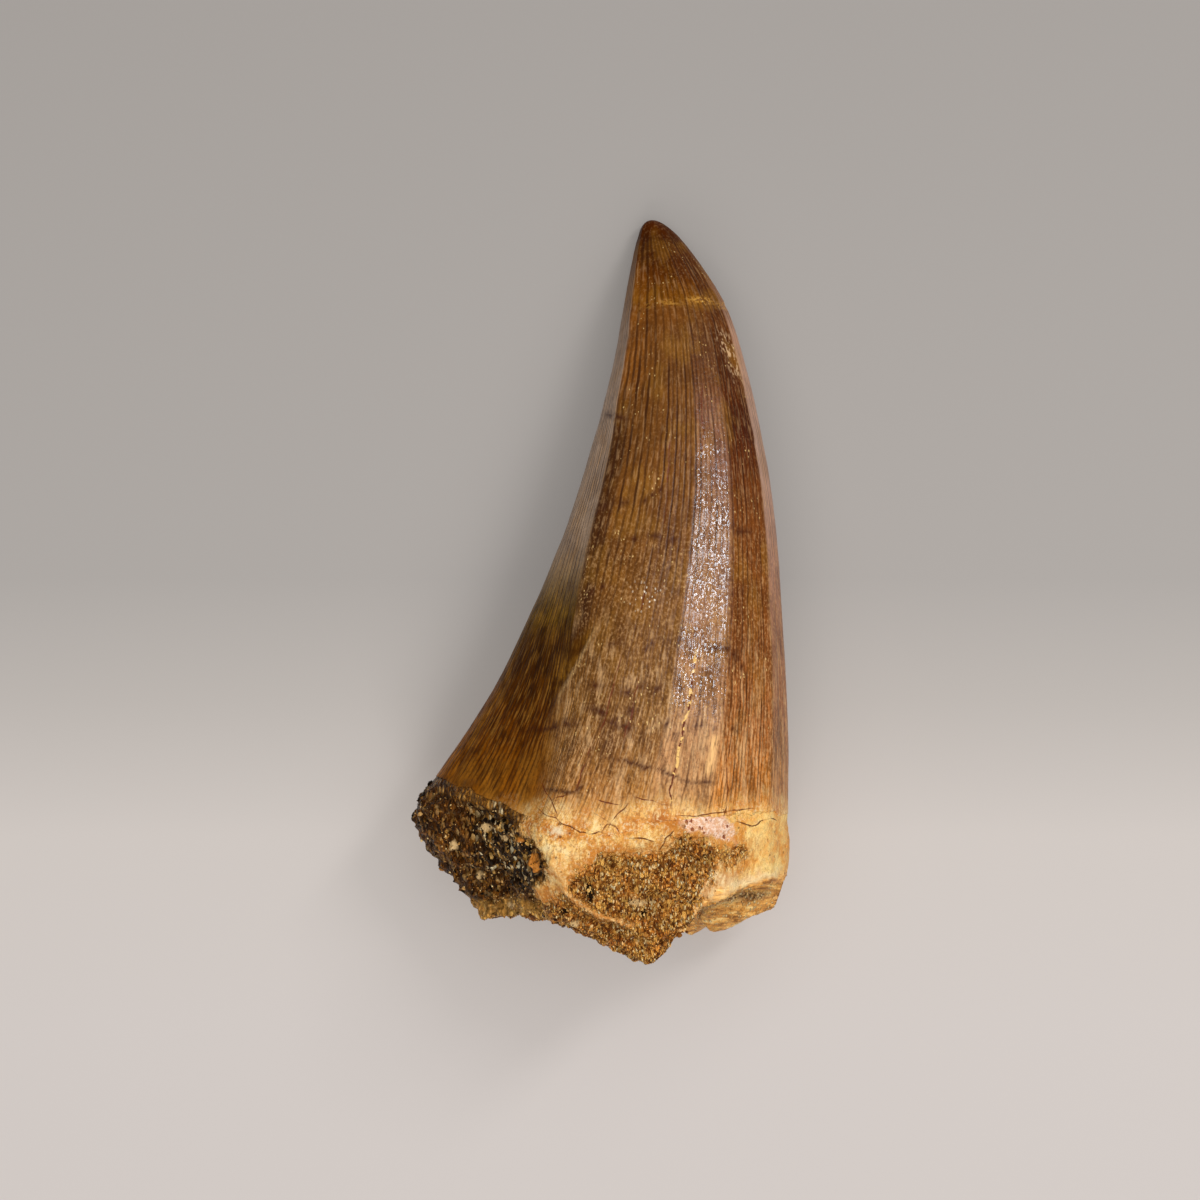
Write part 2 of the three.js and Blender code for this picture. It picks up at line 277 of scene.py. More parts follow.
# Distance on the plan to a path, with a sign that tells its two sides apart, and the share of the
# path's length at the nearest point.
def path_distance(path, x, y):
    path = np.array(path, float)
    lengths = np.hypot(*np.diff(path, axis=0).T)
    starts = np.concatenate([[0], np.cumsum(lengths)])
    least = np.full(x.shape, np.inf)
    signed = np.full(x.shape, np.inf)
    share = np.zeros(x.shape)
    for (ax, ay), (bx, by), length, start in zip(path, path[1:], lengths, starts):
        dx, dy = (bx - ax) / length, (by - ay) / length
        along = clamp((x - ax) * dx + (y - ay) * dy, 0, length)
        gap_x, gap_y = x - ax - along * dx, y - ay - along * dy
        distance = np.hypot(gap_x, gap_y)
        nearer = distance < least
        side = np.where(dx * gap_y - dy * gap_x < 0, -1.0, 1.0)
        least = np.where(nearer, distance, least)
        signed = np.where(nearer, side * distance, signed)
        share = np.where(nearer, (start + along) / starts[-1], share)
    return signed, share


# Signed distance on the plan to an area's border, positive inside.
def area_depth(border, x, y):
    border = list(border)
    least = np.full(x.shape, np.inf)
    inside = np.zeros(x.shape, bool)
    for (ax, ay), (bx, by) in zip(border, border[1:] + border[:1]):
        distance, _ = path_distance([(ax, ay), (bx, by)], x, y)
        least = np.minimum(least, np.abs(distance))
        if ay != by:
            crosses = (ay > y) != (by > y)
            inside ^= crosses & (x < ax + (y - ay) * (bx - ax) / (by - ay))
    return np.where(inside, least, -least)


# Share of the rear flank, from its sharp edge down to its margin.
def flank_share(turn):
    rise = smoothstep(REAR_EDGE_TURN, REAR_EDGE_TURN + 0.2, turn)
    return rise * (1 - smoothstep(REAR_EDGE_TURN + 0.5, REAR_EDGE_TURN + 1, turn))


def root_relief(place, turn, point):
    on_root = smoothstep(ENAMEL_END + 0.1, ENAMEL_END + 1, place)
    flank = flank_share(turn)
    recess = FLANK_RECESS * flank * smoothstep(ENAMEL_END + 0.3, ENAMEL_END + 0.8, place)
    x, y, z = (point[..., axis] for axis in range(3))
    turns_away = np.abs(turn - FRONT_MARGIN_TURN)
    from_front = np.minimum(turns_away, len(CORNERS) - turns_away)
    ragged = mix(CLEAN_SHARE, 1, smoothstep(0.8, 2.5, from_front))
    lumps = LUMP_HEIGHT * noise_at(point, LUMP_SPACING)
    pit_noise = noise(x / PIT_SPACING + 9, y / PIT_SPACING, z / PIT_SPACING)
    pits = PIT_DEPTH * np.maximum(0, pit_noise - 0.15) * mix(0.5, 1, flank)
    facing_up = smoothstep(12, 15, z)
    distance, _ = path_distance(RIB_PATH, x, y)
    rib = RIB_HEIGHT * np.exp(-((distance / RIB_WIDTH) ** 2)) * facing_up
    reach = np.hypot((x - HOLLOW_CENTRE[0]) / HOLLOW_RADII[0], (y - HOLLOW_CENTRE[1]) / HOLLOW_RADII[1])
    in_hollow = (1 - smoothstep(0.75, 1.05, reach)) * facing_up
    rock_noise = noise(x / ROCK_SPACING, y / ROCK_SPACING + 5, z / ROCK_SPACING)
    rock = ROCK_HEIGHT * rock_noise * np.maximum(flank, in_hollow)
    return on_root * (ragged * (lumps - pits) + rock + rib - HOLLOW_DEPTH * in_hollow) - recess


# Turns spaced so that the steps round a middle section are of even length.
def even_turns(steps):
    fine = np.linspace(0, len(CORNERS), 4801)
    points, _ = form(np.full(fine.shape, 6.0), fine)
    lengths = np.linalg.norm(np.diff(points, axis=0), axis=1)
    travelled = np.concatenate([[0], np.cumsum(lengths)])
    shares = np.arange(steps) / steps
    return np.interp(shares * travelled[-1], travelled, fine), shares


# The place where each turn crosses the enamel's lower edge.
def enamel_end(turns):
    places = np.linspace(ENAMEL_END - 1.2, ENAMEL_END + 1.6, 141)
    points, _ = form(*np.meshgrid(places, turns, indexing="ij"))
    x, y = points[..., 0], points[..., 1]
    line = np.interp(x, *ENAMEL_LINE.T) + 0.25 * noise(x / 1.3, points[..., 2] / 1.3, 3)
    below = y < line
    return places[np.argmax(below, axis=0)]


# Meshes: a sheet of rings that is closed at both ends.
FIRST_VERTEX = 1


def sheet_faces(ring_count, steps):
    ring = np.arange(ring_count - 1)[:, None]
    step = np.arange(steps)[None, :]
    after = (step + 1) % steps
    a = FIRST_VERTEX + ring * steps + step
    b = FIRST_VERTEX + ring * steps + after
    c, d = a + steps, b + steps
    walls = np.concatenate([np.stack([a, d, c], -1).reshape(-1, 3), np.stack([a, b, d], -1).reshape(-1, 3)])
    start, end = step[0] + FIRST_VERTEX, after[0] + FIRST_VERTEX
    head = np.stack([np.zeros(steps, int), end, start], -1)
    tail_shift = (ring_count - 1) * steps
    last = np.full(steps, FIRST_VERTEX + ring_count * steps)
    tail = np.stack([start + tail_shift, end + tail_shift, last], -1)
    return np.concatenate([head, walls, tail])


def vertex_normals(points, faces):
    a, b, c = (points[faces[:, i]] for i in range(3))
    face_normals = np.cross(b - a, c - a)
    normals = np.zeros(points.shape)
    for i in range(3):
        for axis in range(3):
            normals[:, axis] += np.bincount(faces[:, i], face_normals[:, axis], len(points))
    return normals / np.maximum(np.linalg.norm(normals, axis=1, keepdims=True), 1e-12)


tip_vertex = max((v.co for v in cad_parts[NODE].data.vertices), key=lambda co: co.y)
PLAN_SHIFT = np.array([tip_vertex.x / MM - TIP[0], tip_vertex.y / MM - TIP[1], 0.0])


def to_frame(points):
    moved = points + PLAN_SHIFT
    moved[:, 2] = np.maximum(moved[:, 2], 0)
    return moved * MM


def make_mesh(name, points, faces, attributes):
    mesh = bpy.data.meshes.new(name)
    mesh.vertices.add(len(points))
    mesh.vertices.foreach_set("co", to_frame(points).astype(np.float32).ravel())
    mesh.loops.add(len(faces) * 3)
    mesh.loops.foreach_set("vertex_index", faces.astype(np.int32).ravel())
    mesh.polygons.add(len(faces))
    mesh.polygons.foreach_set("loop_start", np.arange(0, len(faces) * 3, 3, dtype=np.int32))
    mesh.polygons.foreach_set("use_smooth", np.ones(len(faces), bool))
    for key, values in attributes.items():
        kind, field = ("FLOAT_VECTOR", "vector") if values.ndim == 2 else ("FLOAT", "value")
        layer = mesh.attributes.new(key, kind, "POINT")
        layer.data.foreach_set(field, values.astype(np.float32).ravel())
    mesh.update(calc_edges=True)
    mesh.validate()
    piece = bpy.data.objects.new(name, mesh)
    bpy.context.scene.collection.objects.link(piece)
    return piece


# Fine dark cracks, on the plan.
CRACKS = [
    [(5.8, 11.9), (7.1, 11.9), (8.1, 12.1), (9.9, 12.2), (12.6, 12.6)],
    [(10.7, 11.5), (12.2, 11.1), (12.8, 11.5), (13.6, 11.7), (14.3, 11.3)],
    [(2.4, 13.1), (1.6, 12.2), (0.8, 11.5), (0.2, 10.7)],
    [(-5.3, 12.6), (-4.2, 12.0), (-2.6, 11.3), (-1.5, 10.6), (-0.8, 10.6), (0.0, 10.8), (0.6, 10.6)],
    [(2.3, 10.1), (3.2, 10.1), (4.5, 9.9)],
    [(6.0, 10.9), (5.2, 10.2), (4.7, 9.2)],
    [(-4.7, 14.7), (-4.1, 13.6), (-3.5, 12.4), (-3.3, 11.8)],
    [(-3.8, 13.2), (-2.6, 13.8)],
    [(-0.3, 13.4), (0.5, 13.0), (1.6, 12.8)],
    [(-0.5, 12.2), (0.8, 11.5), (1.5, 10.7)],
    [(2.6, 13.4), (4.1, 13.3), (4.9, 12.9), (5.6, 12.8)],
    [(10.1, 13.8), (10.0, 11.8)],
]
CRACK_REACH = 0.8

# Wider stained lines across the crown.
BANDS = [
    [(-1.9, 23.0), (-0.6, 22.4), (0.8, 21.7), (2.6, 21.9), (4.3, 22.3), (5.6, 21.6)],
    [(-7.1, 18.3), (-3.4, 19.2), (-0.8, 19.5), (2.8, 19.1), (5.6, 19.3), (8.1, 19.2), (12.6, 18.5)],
    [(-1.5, 20.6), (0.9, 20.3), (3.1, 20.4)],
    [(0.6, 16.8), (2.7, 16.2), (4.7, 15.6), (6.6, 15.1), (9.6, 14.4)],
    [(0.0, 25.8), (1.6, 25.4), (3.3, 24.9), (4.5, 26.0), (5.3, 26.6)],
    [(8.3, 25.6), (10.1, 25.2), (11.2, 24.3), (11.6, 23.0)],
    [(-0.8, 36.2), (1.2, 37.0), (3.4, 37.1), (5.0, 38.1), (6.9, 37.7)],
    [(0.8, 33.9), (3.5, 34.1), (5.2, 33.9), (6.7, 34.3)],
    [(10.4, 35.4), (11.0, 34.8), (12.5, 34.8)],
    [(-4.6, 14.3), (-2.8, 13.9), (-1.0, 14.4)],
    [(-2.4, 43.0), (0.2, 44.2), (2.6, 43.6)],
    [(-2.9, 30.3), (-1.0, 29.6), (0.9, 30.6)],
]
BAND_WIDTH = 0.17

# The long crack filled with pale mineral, the dark hairlines beside it, and the pale streak.
FILLED_CRACK = [(7.9, 25.8), (7.2, 21.7), (6.8, 19.4), (6.3, 17.0), (5.9, 15.2), (5.6, 13.6), (5.8, 12.0)]
HAIRLINES = [
    [(5.75, 42.3), (5.5, 40.6), (5.4, 37.6), (5.15, 34.9)],
    [(8.2, 47.0), (8.2, 44.0), (8.3, 40.5)],
    [(1.7, 25.0), (1.2, 22.7), (0.65, 20.6), (-0.2, 17.8)],
    [(3.0, 23.1), (2.8, 21.7), (2.4, 19.0)],
    [(2.1, 19.3), (1.9, 17.6)],
    [(-0.8, 17.6), (-1.6, 15.1), (-2.1, 13.6)],
    [(10.1, 16.9), (10.1, 12.6)],
    [(3.6, 30.2), (3.2, 28.2)],
]
PALE_STREAK = [(9.2, 18.6), (8.95, 16.9), (8.6, 15.0)]
PALE_STREAK_WIDTH = 0.3
CHIP_LINE = [(3.2, 52.7), (4.5, 53.1), (6.5, 53.3), (8.5, 53.35), (10.4, 53.0)]
CHIP_WIDTH = 0.13
WORN_PATCH = [(9.5, 51.2), (10.5, 50.4), (11.2, 48.4), (11.5, 46.6), (10.8, 46.8), (10.1, 48.8), (9.4, 50.2)]

# The lip side's plateau ends on the left in a low step, and a thin painted highlight runs along its edge.
STEP_EDGE = [(-0.24, 27.4), (-1.9, 24.1), (-3.4, 21.6), (-3.6, 19.4), (-3.8, 16.2), (-4.2, 13.6)]
STEP_HEIGHT = 0.16
STEP_FADE = 2.5

# Pebbles and holes of the rock: middle on the plan, half width, half length, and height or depth.
AMBER_PEBBLES = [(-5.2, 8.2, 0.34, 0.78, 0.25), (-6.4, 10.0, 0.34, 0.22, 0.12)]
PALE_PEBBLES = [(-9.3, 10.9, 0.26, 0.34, 0.12), (-11.9, 9.3, 0.28, 0.42, 0.12),
                (-7.9, 10.0, 0.3, 0.26, 0.12), (-9.7, 6.9, 0.4, 0.3, 0.1), (-4.4, 7.4, 0.16, 0.32, 0.1),
                (-7.2, 4.6, 0.3, 0.24, 0.1), (-10.4, 7.6, 0.2, 0.3, 0.1), (-2.2, 3.2, 0.5, 0.2, 0.12),
                (3.0, 5.0, 0.9, 0.22, 0.12)]
HOLES = [(-0.8, 5.8, 0.4, 0.75, 0.4), (3.5, 4.2, 0.22, 0.4, 0.35), (-3.0, 4.2, 0.35, 0.2, 0.25),
         (12.1, 4.7, 0.5, 0.38, 0.3), (8.5, 8.6, 0.2, 0.26, 0.2)]

# Areas of the root seen from above.
SANDY_AREA = [(-2.6, 6.2), (-1.6, 8.0), (0.8, 8.7), (3.2, 8.8), (5.3, 9.5), (6.2, 10.3), (8.1, 10.0),
              (9.9, 9.5), (11.5, 9.2), (10.9, 8.1), (9.1, 7.5), (8.3, 6.3), (7.6, 4.5), (7.6, 0.4),
              (3.2, -1.0), (-1.2, 0.6), (-7.5, 2.4), (-6.5, 4.4), (-4.2, 5.2), (-3.4, 5.8)]
PINK_AREA = [(6.6, 11.9), (8.1, 12.1), (9.9, 11.9), (10.9, 10.9), (10.8, 9.7), (9.3, 9.8), (7.9, 10.8),
             (6.7, 11.1)]
WHITE_AREA = [(-3.9, 11.4), (-2.9, 11.2), (-2.4, 10.6), (-3.1, 10.1), (-4.0, 10.6)]
BLACK_AREA = [(-10.2, 12.0), (-7.4, 13.2), (-6.3, 11.0), (-5.1, 9.1), (-4.1, 8.5), (-4.3, 6.8),
              (-5.7, 6.0), (-8.1, 7.3), (-9.8, 8.9)]
BRIGHT_AREA = [(7.6, 4.7), (8.8, 5.3), (10.8, 5.8), (15.0, 6.6), (15.2, 7.6), (11.6, 6.9), (10.4, 7.0),
               (9.4, 7.8), (8.2, 6.8)]

# The worn rim at the lower right, and the dark groove along it.
RIM_GROOVE = [(6.6, 2.6), (7.6, 3.7), (9.0, 4.6), (11.1, 5.1), (14.4, 5.6)]
WORN_RIM = [(6.8, 2.4), (9.0, 5.2), (11.4, 6.2), (15.8, 7.4), (15.8, 1.0), (6.8, 1.0)]


def nearest_line(paths, x, y, reach):
    signed = np.full(x.shape, np.inf)
    strength = np.zeros(x.shape)
    for path in paths:
        distance, share = path_distance(path, x, y)
        nearer = np.abs(distance) < np.abs(signed)
        ends = smoothstep(0, 0.12, share) * (1 - smoothstep(0.88, 1, share))
        local = ends * (np.abs(distance) < reach)
        signed = np.where(nearer, distance, signed)
        strength = np.where(nearer, local, strength)
    return clamp(signed, -2 * reach, 2 * reach), strength


def soft_lines(paths, x, y, width):
    strength = np.zeros(x.shape)
    for path in paths:
        distance, share = path_distance(path, x, y)
        ends = smoothstep(0, 0.15, share) * (1 - smoothstep(0.85, 1, share))
        strength = np.maximum(strength, ends * np.exp(-((distance / width) ** 2)))
    return strength


# Distance to the thin lines of each kind, and where they are there, all on the lip side.
THIN_LINES = {"crack": CRACKS, "hairline": HAIRLINES, "filled_crack": [FILLED_CRACK]}


def thin_marks(names, points, lip_side):
    x, y, _ = points.T
    wobble_x = x + 0.14 * noise(x / 0.7, y / 0.7, 1)
    wobble_y = y + 0.14 * noise(x / 0.7, y / 0.7, 7)
    marks = {}
    for name in names:
        line_y = wobble_y if name == "crack" else y
        distance, strength = nearest_line(THIN_LINES[name], wobble_x, line_y, CRACK_REACH)
        marks[name] = distance
        marks[name + "_strength"] = strength * lip_side
    return marks


# Domed spots: how far each point is inside one, and the dome's height there.
def spots(places, x, y):
    inside = np.zeros(x.shape)
    height = np.zeros(x.shape)
    for centre_x, centre_y, half_width, half_length, tall in places:
        lean = x - centre_x + 0.2 * (y - centre_y)
        rough = 0.15 * noise(x / 0.3, y / 0.3, centre_x)
        reach = np.hypot(lean / half_width, (y - centre_y) / half_length) + rough
        inside = np.maximum(inside, smoothstep(1.1, 0.85, reach))
        height = np.maximum(height, tall * np.sqrt(clamp(1 - reach * reach)))
    return inside, height


# The places of the crown's rings, which stretch at the foot to follow the enamel's lower edge.
def crown_places_for(ends):
    tip_places = (np.arange(1, TIP_RINGS + 1) / TIP_RINGS) ** 2
    crown_places = np.linspace(1, 7, CROWN_RINGS + 1)[1:]
    base_places = np.linspace(7, ENAMEL_END, BASE_RINGS + 1)[1:]
    ring_places = np.concatenate([tip_places, crown_places, base_places])
    stretch = smoothstep(6, ENAMEL_END, ring_places)[:, None] * (ends - ENAMEL_END)[None, :]
    return ring_places, ring_places[:, None] + stretch


# The low step on the lip side: distance to its edge, where it is there, and what lies to its left.
def plateau_step(x, y, lip_side):
    step, _ = path_distance(STEP_EDGE, x, y)
    blur = mix(1.2, 0.2, smoothstep(19.5, 23.0, y))
    on_step = lip_side * smoothstep(27.8, 25.5, y) * smoothstep(13.2, 15.5, y)
    return step, on_step, smoothstep(blur, -blur, step)


def make_crown():
    turns, shares = even_turns(CROWN_STEPS)
    ring_places, place = crown_places_for(enamel_end(turns))
    turn = np.broadcast_to(turns, place.shape)
    points, outward = form(place, turn)
    x, y = points[..., 0], points[..., 1]
    along = TIP[1] - y
    lip_side = smoothstep(0.2, 0.6, turn) * (1 - smoothstep(6.3, 6.6, turn))
    swell = SWELL[0] * noise_at(points, 5.0) + SWELL[1] * noise_at(points, 1.9)
    chip, _ = path_distance(CHIP_LINE, x, y)
    nick = np.exp(-((chip / CHIP_WIDTH) ** 2)) * lip_side
    worn = smoothstep(-0.3, 0.3, area_depth(WORN_PATCH, x, y)) * lip_side
    worn_pits = worn * (0.05 + 0.15 * np.maximum(0, noise_at(points, 0.5)))
    step, on_step, left_of_step = plateau_step(x, y, lip_side)
    drop = STEP_HEIGHT * on_step * left_of_step * np.exp(np.minimum(step, 0) / STEP_FADE)
    edge_gap = np.minimum(np.abs(turn - REAR_EDGE_TURN), np.abs(turn - FRONT_EDGE_TURN))
    chips = np.maximum(0, noise(along / 0.8, turn, 2) - 0.2) * np.exp(-((edge_gap / 0.15) ** 2))
    chips = chips * smoothstep(15.5, 18, y)
    relief = smoothstep(0, 1.5, along) * (swell - drop - NICK_DEPTH * nick - worn_pits - EDGE_CHIP * chips)
    points = points + outward * relief[..., None]
    # The lower edge turns in by the enamel's thickness and closes inside the root.
    lips = [points[-1] - outward[-1] * depth for depth in LIP_DEPTHS]
    inner = mix(lips[-1], INSIDE, 0.5)
    rings = np.concatenate([points, [lips[0], lips[1], inner]])
    tip = np.array([[TIP[0], TIP[1], STATIONS[0, HEIGHT]]])
    all_points = np.concatenate([tip, rings.reshape(-1, 3), [INSIDE]])
    faces = sheet_faces(len(rings), CROWN_STEPS)

    def spread(values, first=0.0, last=0.0):
        values = np.broadcast_to(values, place.shape)
        grid = np.concatenate([values, np.repeat(values[-1:], len(rings) - len(values), axis=0)])
        return np.concatenate([[first], grid.ravel(), [last]])

    angle = 2 * math.pi * shares[None, :]
    perimeter = np.linalg.norm(np.roll(points, -1, axis=1) - points, axis=-1).sum(1)
    pitch = np.maximum(perimeter, 4.0)[:, None] / LINES
    near_edge = np.exp(-((edge_gap / 0.12) ** 2))
    ribbed = smoothstep(0.3, 1.6, along) * (1 - 0.7 * near_edge) * (1 - 0.7 * worn)
    ribbed = ribbed * (1 - smoothstep(ENAMEL_END - 0.25, ENAMEL_END, ring_places)[:, None])
    px, py, _ = all_points.T
    wobble = py + 0.3 * noise(px / 1.1, py / 1.1, 4)
    side = spread(lip_side)
    soft_edge = smoothstep(25, 19, y)
    flank = smoothstep(5.5 - 0.2 * soft_edge, 5.53 + 0.25 * soft_edge, turn)
    flank = flank * (1 - smoothstep(6.4, 7.4, turn))
    # Painted light: low on the crown, the rear flank is painted lighter right beside its sharp edge, which
    # lifts the shade there.
    painted_flank_edge_light = smoothstep(24, 17, y) * np.exp(-((np.maximum(turn - 5.5, 0) / 0.22) ** 2))
    before_edge = 1 - smoothstep(5.5, 5.58, turn)
    rear_edge = smoothstep(5.1, 5.32, turn) * before_edge
    rear_edge = rear_edge * smoothstep(21, 25, y) * (1 - smoothstep(43, 46, y))
    gold_edge = smoothstep(4.6, 5.2, turn) * before_edge * smoothstep(44, 47, y)
    # The spot in the middle of the lip side where white glint dots are painted.
    painted_glint_spot = lip_side * np.exp(-(((x - 3.8) / 1.2) ** 2) - ((y - 29.4) / 1.0) ** 2)
    step_edge_highlight = on_step * smoothstep(18.5, 22.5, y) * np.exp(-(((step - 0.1) / 0.11) ** 2))
    golden_side = on_step * smoothstep(20.5, 23.5, y) * np.exp(-(((step + 0.5) / 0.55) ** 2))
    attributes = {
        "wrap_across": spread(np.cos(angle), 1, 1),
        "wrap_up": spread(np.sin(angle)),
        "along": spread(along),
        "pitch": spread(pitch, 4.0 / LINES, 4.0 / LINES),
        "ribbed": spread(ribbed),
        "flank": spread(flank),
        "painted_flank_edge_light": spread(painted_flank_edge_light),
        "underside": spread(smoothstep(6.8, 7.4, turn) * (1 - smoothstep(11.4, 11.9, turn))),
        "red_facet": spread(smoothstep(1.47, 1.55, turn) * (1 - smoothstep(2.4, 2.6, turn))),
        "front_strip": spread((1 - smoothstep(1.43, 1.52, turn)) + smoothstep(11.5, 12, turn)),
        "gleam_facet": spread(smoothstep(2.4, 2.55, turn) * (1 - smoothstep(3.42, 3.58, turn))),
        "rear_edge": spread(rear_edge),
        "gold_edge": spread(gold_edge),
        "painted_glint_spot": spread(painted_glint_spot),
        "chip_line": spread(nick),
        "worn": spread(worn),
        "step_edge_highlight": spread(step_edge_highlight),
        "amber_side": spread(lip_side * smoothstep(27.8, 25.5, y) * left_of_step),
        "golden_side": spread(golden_side),
        "band": soft_lines(BANDS, px, wobble, BAND_WIDTH) * side,
        "pale_streak": soft_lines([PALE_STREAK], px, py, PALE_STREAK_WIDTH) * side,
    }
    attributes.update(thin_marks(THIN_LINES, all_points, side))
    return make_mesh("enamel_crown", all_points, faces, attributes)


# The root's wall and the rough hollow break that closes it.
def root_form():
    turns, _ = even_turns(ROOT_STEPS)
    ends = enamel_end(turns)
    share = np.linspace(0, 1, ROOT_RINGS)[:, None]
    place = mix(ends[None, :] - ROOT_OVERLAP, ROOT_END, share)
    turn = np.broadcast_to(turns, place.shape)
    points, outward = form(place, turn)
    sunk = mix(HIDDEN_DEPTH, ENAMEL_THICKNESS, smoothstep(-0.35, -0.03, place - ends))
    relief = root_relief(place, turn, points) - sunk * (1 - smoothstep(0.3, 1.6, place - ends))
    wall = points + outward * relief[..., None]
    rim = wall[-1]
    inward = (np.arange(BREAK_RINGS) + 1)[:, None] / (BREAK_RINGS + 1)
    broken = rim[None] + (BREAK_CENTRE - rim)[None] * inward[..., None]
    floor_y = BREAK_CENTRE[1] - BREAK_SLOPE * (1 - inward)
    broken[..., 1] = mix(rim[None, :, 1], floor_y, smoothstep(0.08, 0.85, inward))
    bx, bz = broken[..., 0], broken[..., 2]
    rough = noise(bx / 3, 4, bz / 3) + 0.5 * noise(bx / 1.5, 9, bz / 1.5)
    broken[..., 1] += BREAK_ROUGHNESS * rough * smoothstep(0, 0.25, inward)
    rings = np.concatenate([wall, broken])
    head = wall[0].mean(0) + np.array([0, 2.0, 0])
    points = np.concatenate([[head], rings.reshape(-1, 3), [BREAK_CENTRE]])
    return points, sheet_faces(len(rings), ROOT_STEPS), place, turn, place - ends


def make_root():
    points, faces, place, turn, below_enamel = root_form()

    def spread(wall_values, break_value):
        wall_values = np.broadcast_to(wall_values, place.shape)
        middle = np.full((BREAK_RINGS, ROOT_STEPS), break_value)
        return np.concatenate([[0], wall_values.ravel(), middle.ravel(), [break_value]])

    x, y, z = points.T
    wander = 0.6 * noise_at(points, 1.6) + 0.4 * noise_at(points, 0.7, 5) + 0.3 * noise_at(points, 0.33, 5)
    lip_side = smoothstep(11, 13, z)

    def patch(border, softness=0.2):
        return smoothstep(-softness, softness, area_depth(border, x, y) + wander) * lip_side

    broken_share = spread(smoothstep(ROOT_END - 0.25, ROOT_END, place), 1.0)
    flank_zone = smoothstep(5.5, 5.6, turn) * (1 - smoothstep(7.2, 7.9, turn))
    dark = spread(flank_zone * smoothstep(-0.5, -0.3, below_enamel), 0)
    black = smoothstep(-0.5, 0.5, area_depth(BLACK_AREA, x, y) + 0.6 * wander) * smoothstep(9, 10.5, z)
    dark = np.maximum(dark, black * spread(turn < 8, 0))
    sandy = patch(SANDY_AREA, 0.6)
    worn_off = noise_at(points, 3.2, 3) + spread(place - 10.6, 1.0) / 2
    below = smoothstep(9, 7, z) * smoothstep(-0.1, 0.3, worn_off)
    rib, _ = path_distance(RIB_PATH, x, y)
    splinter = np.exp(-((rib / 0.3) ** 2)) * smoothstep(12, 14, z) * (1 - broken_share)
    worn_rim = smoothstep(-0.4, 0.4, area_depth(WORN_RIM, x, y) + wander)
    rock = np.maximum.reduce([broken_share, dark, sandy, below]) * (1 - splinter) * (1 - 0.75 * worn_rim)
    pink, white = patch(PINK_AREA), patch(WHITE_AREA)
    plain = 0.85 * np.maximum(pink, white)
    seen = smoothstep(7, 9, z)
    normals = vertex_normals(points, faces)
    grainy = 0.22 * noise_at(points, 0.9, 2) + 0.18 * noise_at(points, 0.45, 4)
    grainy = (grainy + 0.1 * noise_at(points, 0.26, 6)) * mix(1, 1.4, dark)
    bony = 0.05 * noise_at(points, 1.0, 8) + 0.03 * noise_at(points, 0.4, 9)
    pits = 0.1 * smoothstep(0.55, 0.85, noise_at(points, 0.55, 11))
    on_root = spread(smoothstep(0.0, 0.5, below_enamel), 1.0)
    amber_pebble, amber_height = spots(AMBER_PEBBLES, x, y)
    pale_pebble, pale_height = spots(PALE_PEBBLES, x, y)
    hole, hole_depth = spots(HOLES, x, y)
    height = on_root * mix(bony - pits, grainy - 0.18, rock)
    height = height + seen * (amber_height + pale_height - hole_depth)
    points = points + normals * height[:, None]
    stray = smoothstep(0.35, 0.6, noise_at(points, 2.4, 15)) * smoothstep(11, 9, y) * STRAY_GRAINS
    attributes = {
        "rock": rock,
        "dark_rock": dark * (1 - splinter),
        "black_rock": smoothstep(-0.9, 0.6, area_depth(BLACK_AREA, x, y) + wander) * dark,
        "near_enamel": spread(smoothstep(0.5, 0.0, below_enamel), 0),
        "rim_groove": soft_lines([RIM_GROOVE], x, y + 0.3 * wander, 0.4) * smoothstep(4, 6, z),
        "splinter": splinter,
        "pink": pink,
        "white": white,
        "bright": patch(BRIGHT_AREA, 0.5),
        "stained": smoothstep(-2.4, 0.2, area_depth(SANDY_AREA, x, y) + wander) * lip_side * (1 - plain),
        "worn_rim": worn_rim,
        "amber_pebble": amber_pebble * seen,
        "pale_pebble": pale_pebble * seen,
        "hole": hole * seen,
        "relief": height,
        "front_cheek": spread((1 - smoothstep(1.6, 2.6, turn)) + smoothstep(11, 12, turn), 0),
        "grain_share": np.maximum(clamp(rock * 1.3 - 0.3), stray * lip_side) * on_root * (1 - 0.3 * dark),
    }
    attributes.update(thin_marks(["crack"], points, lip_side))
    return make_mesh("root_stub", points, faces, attributes)


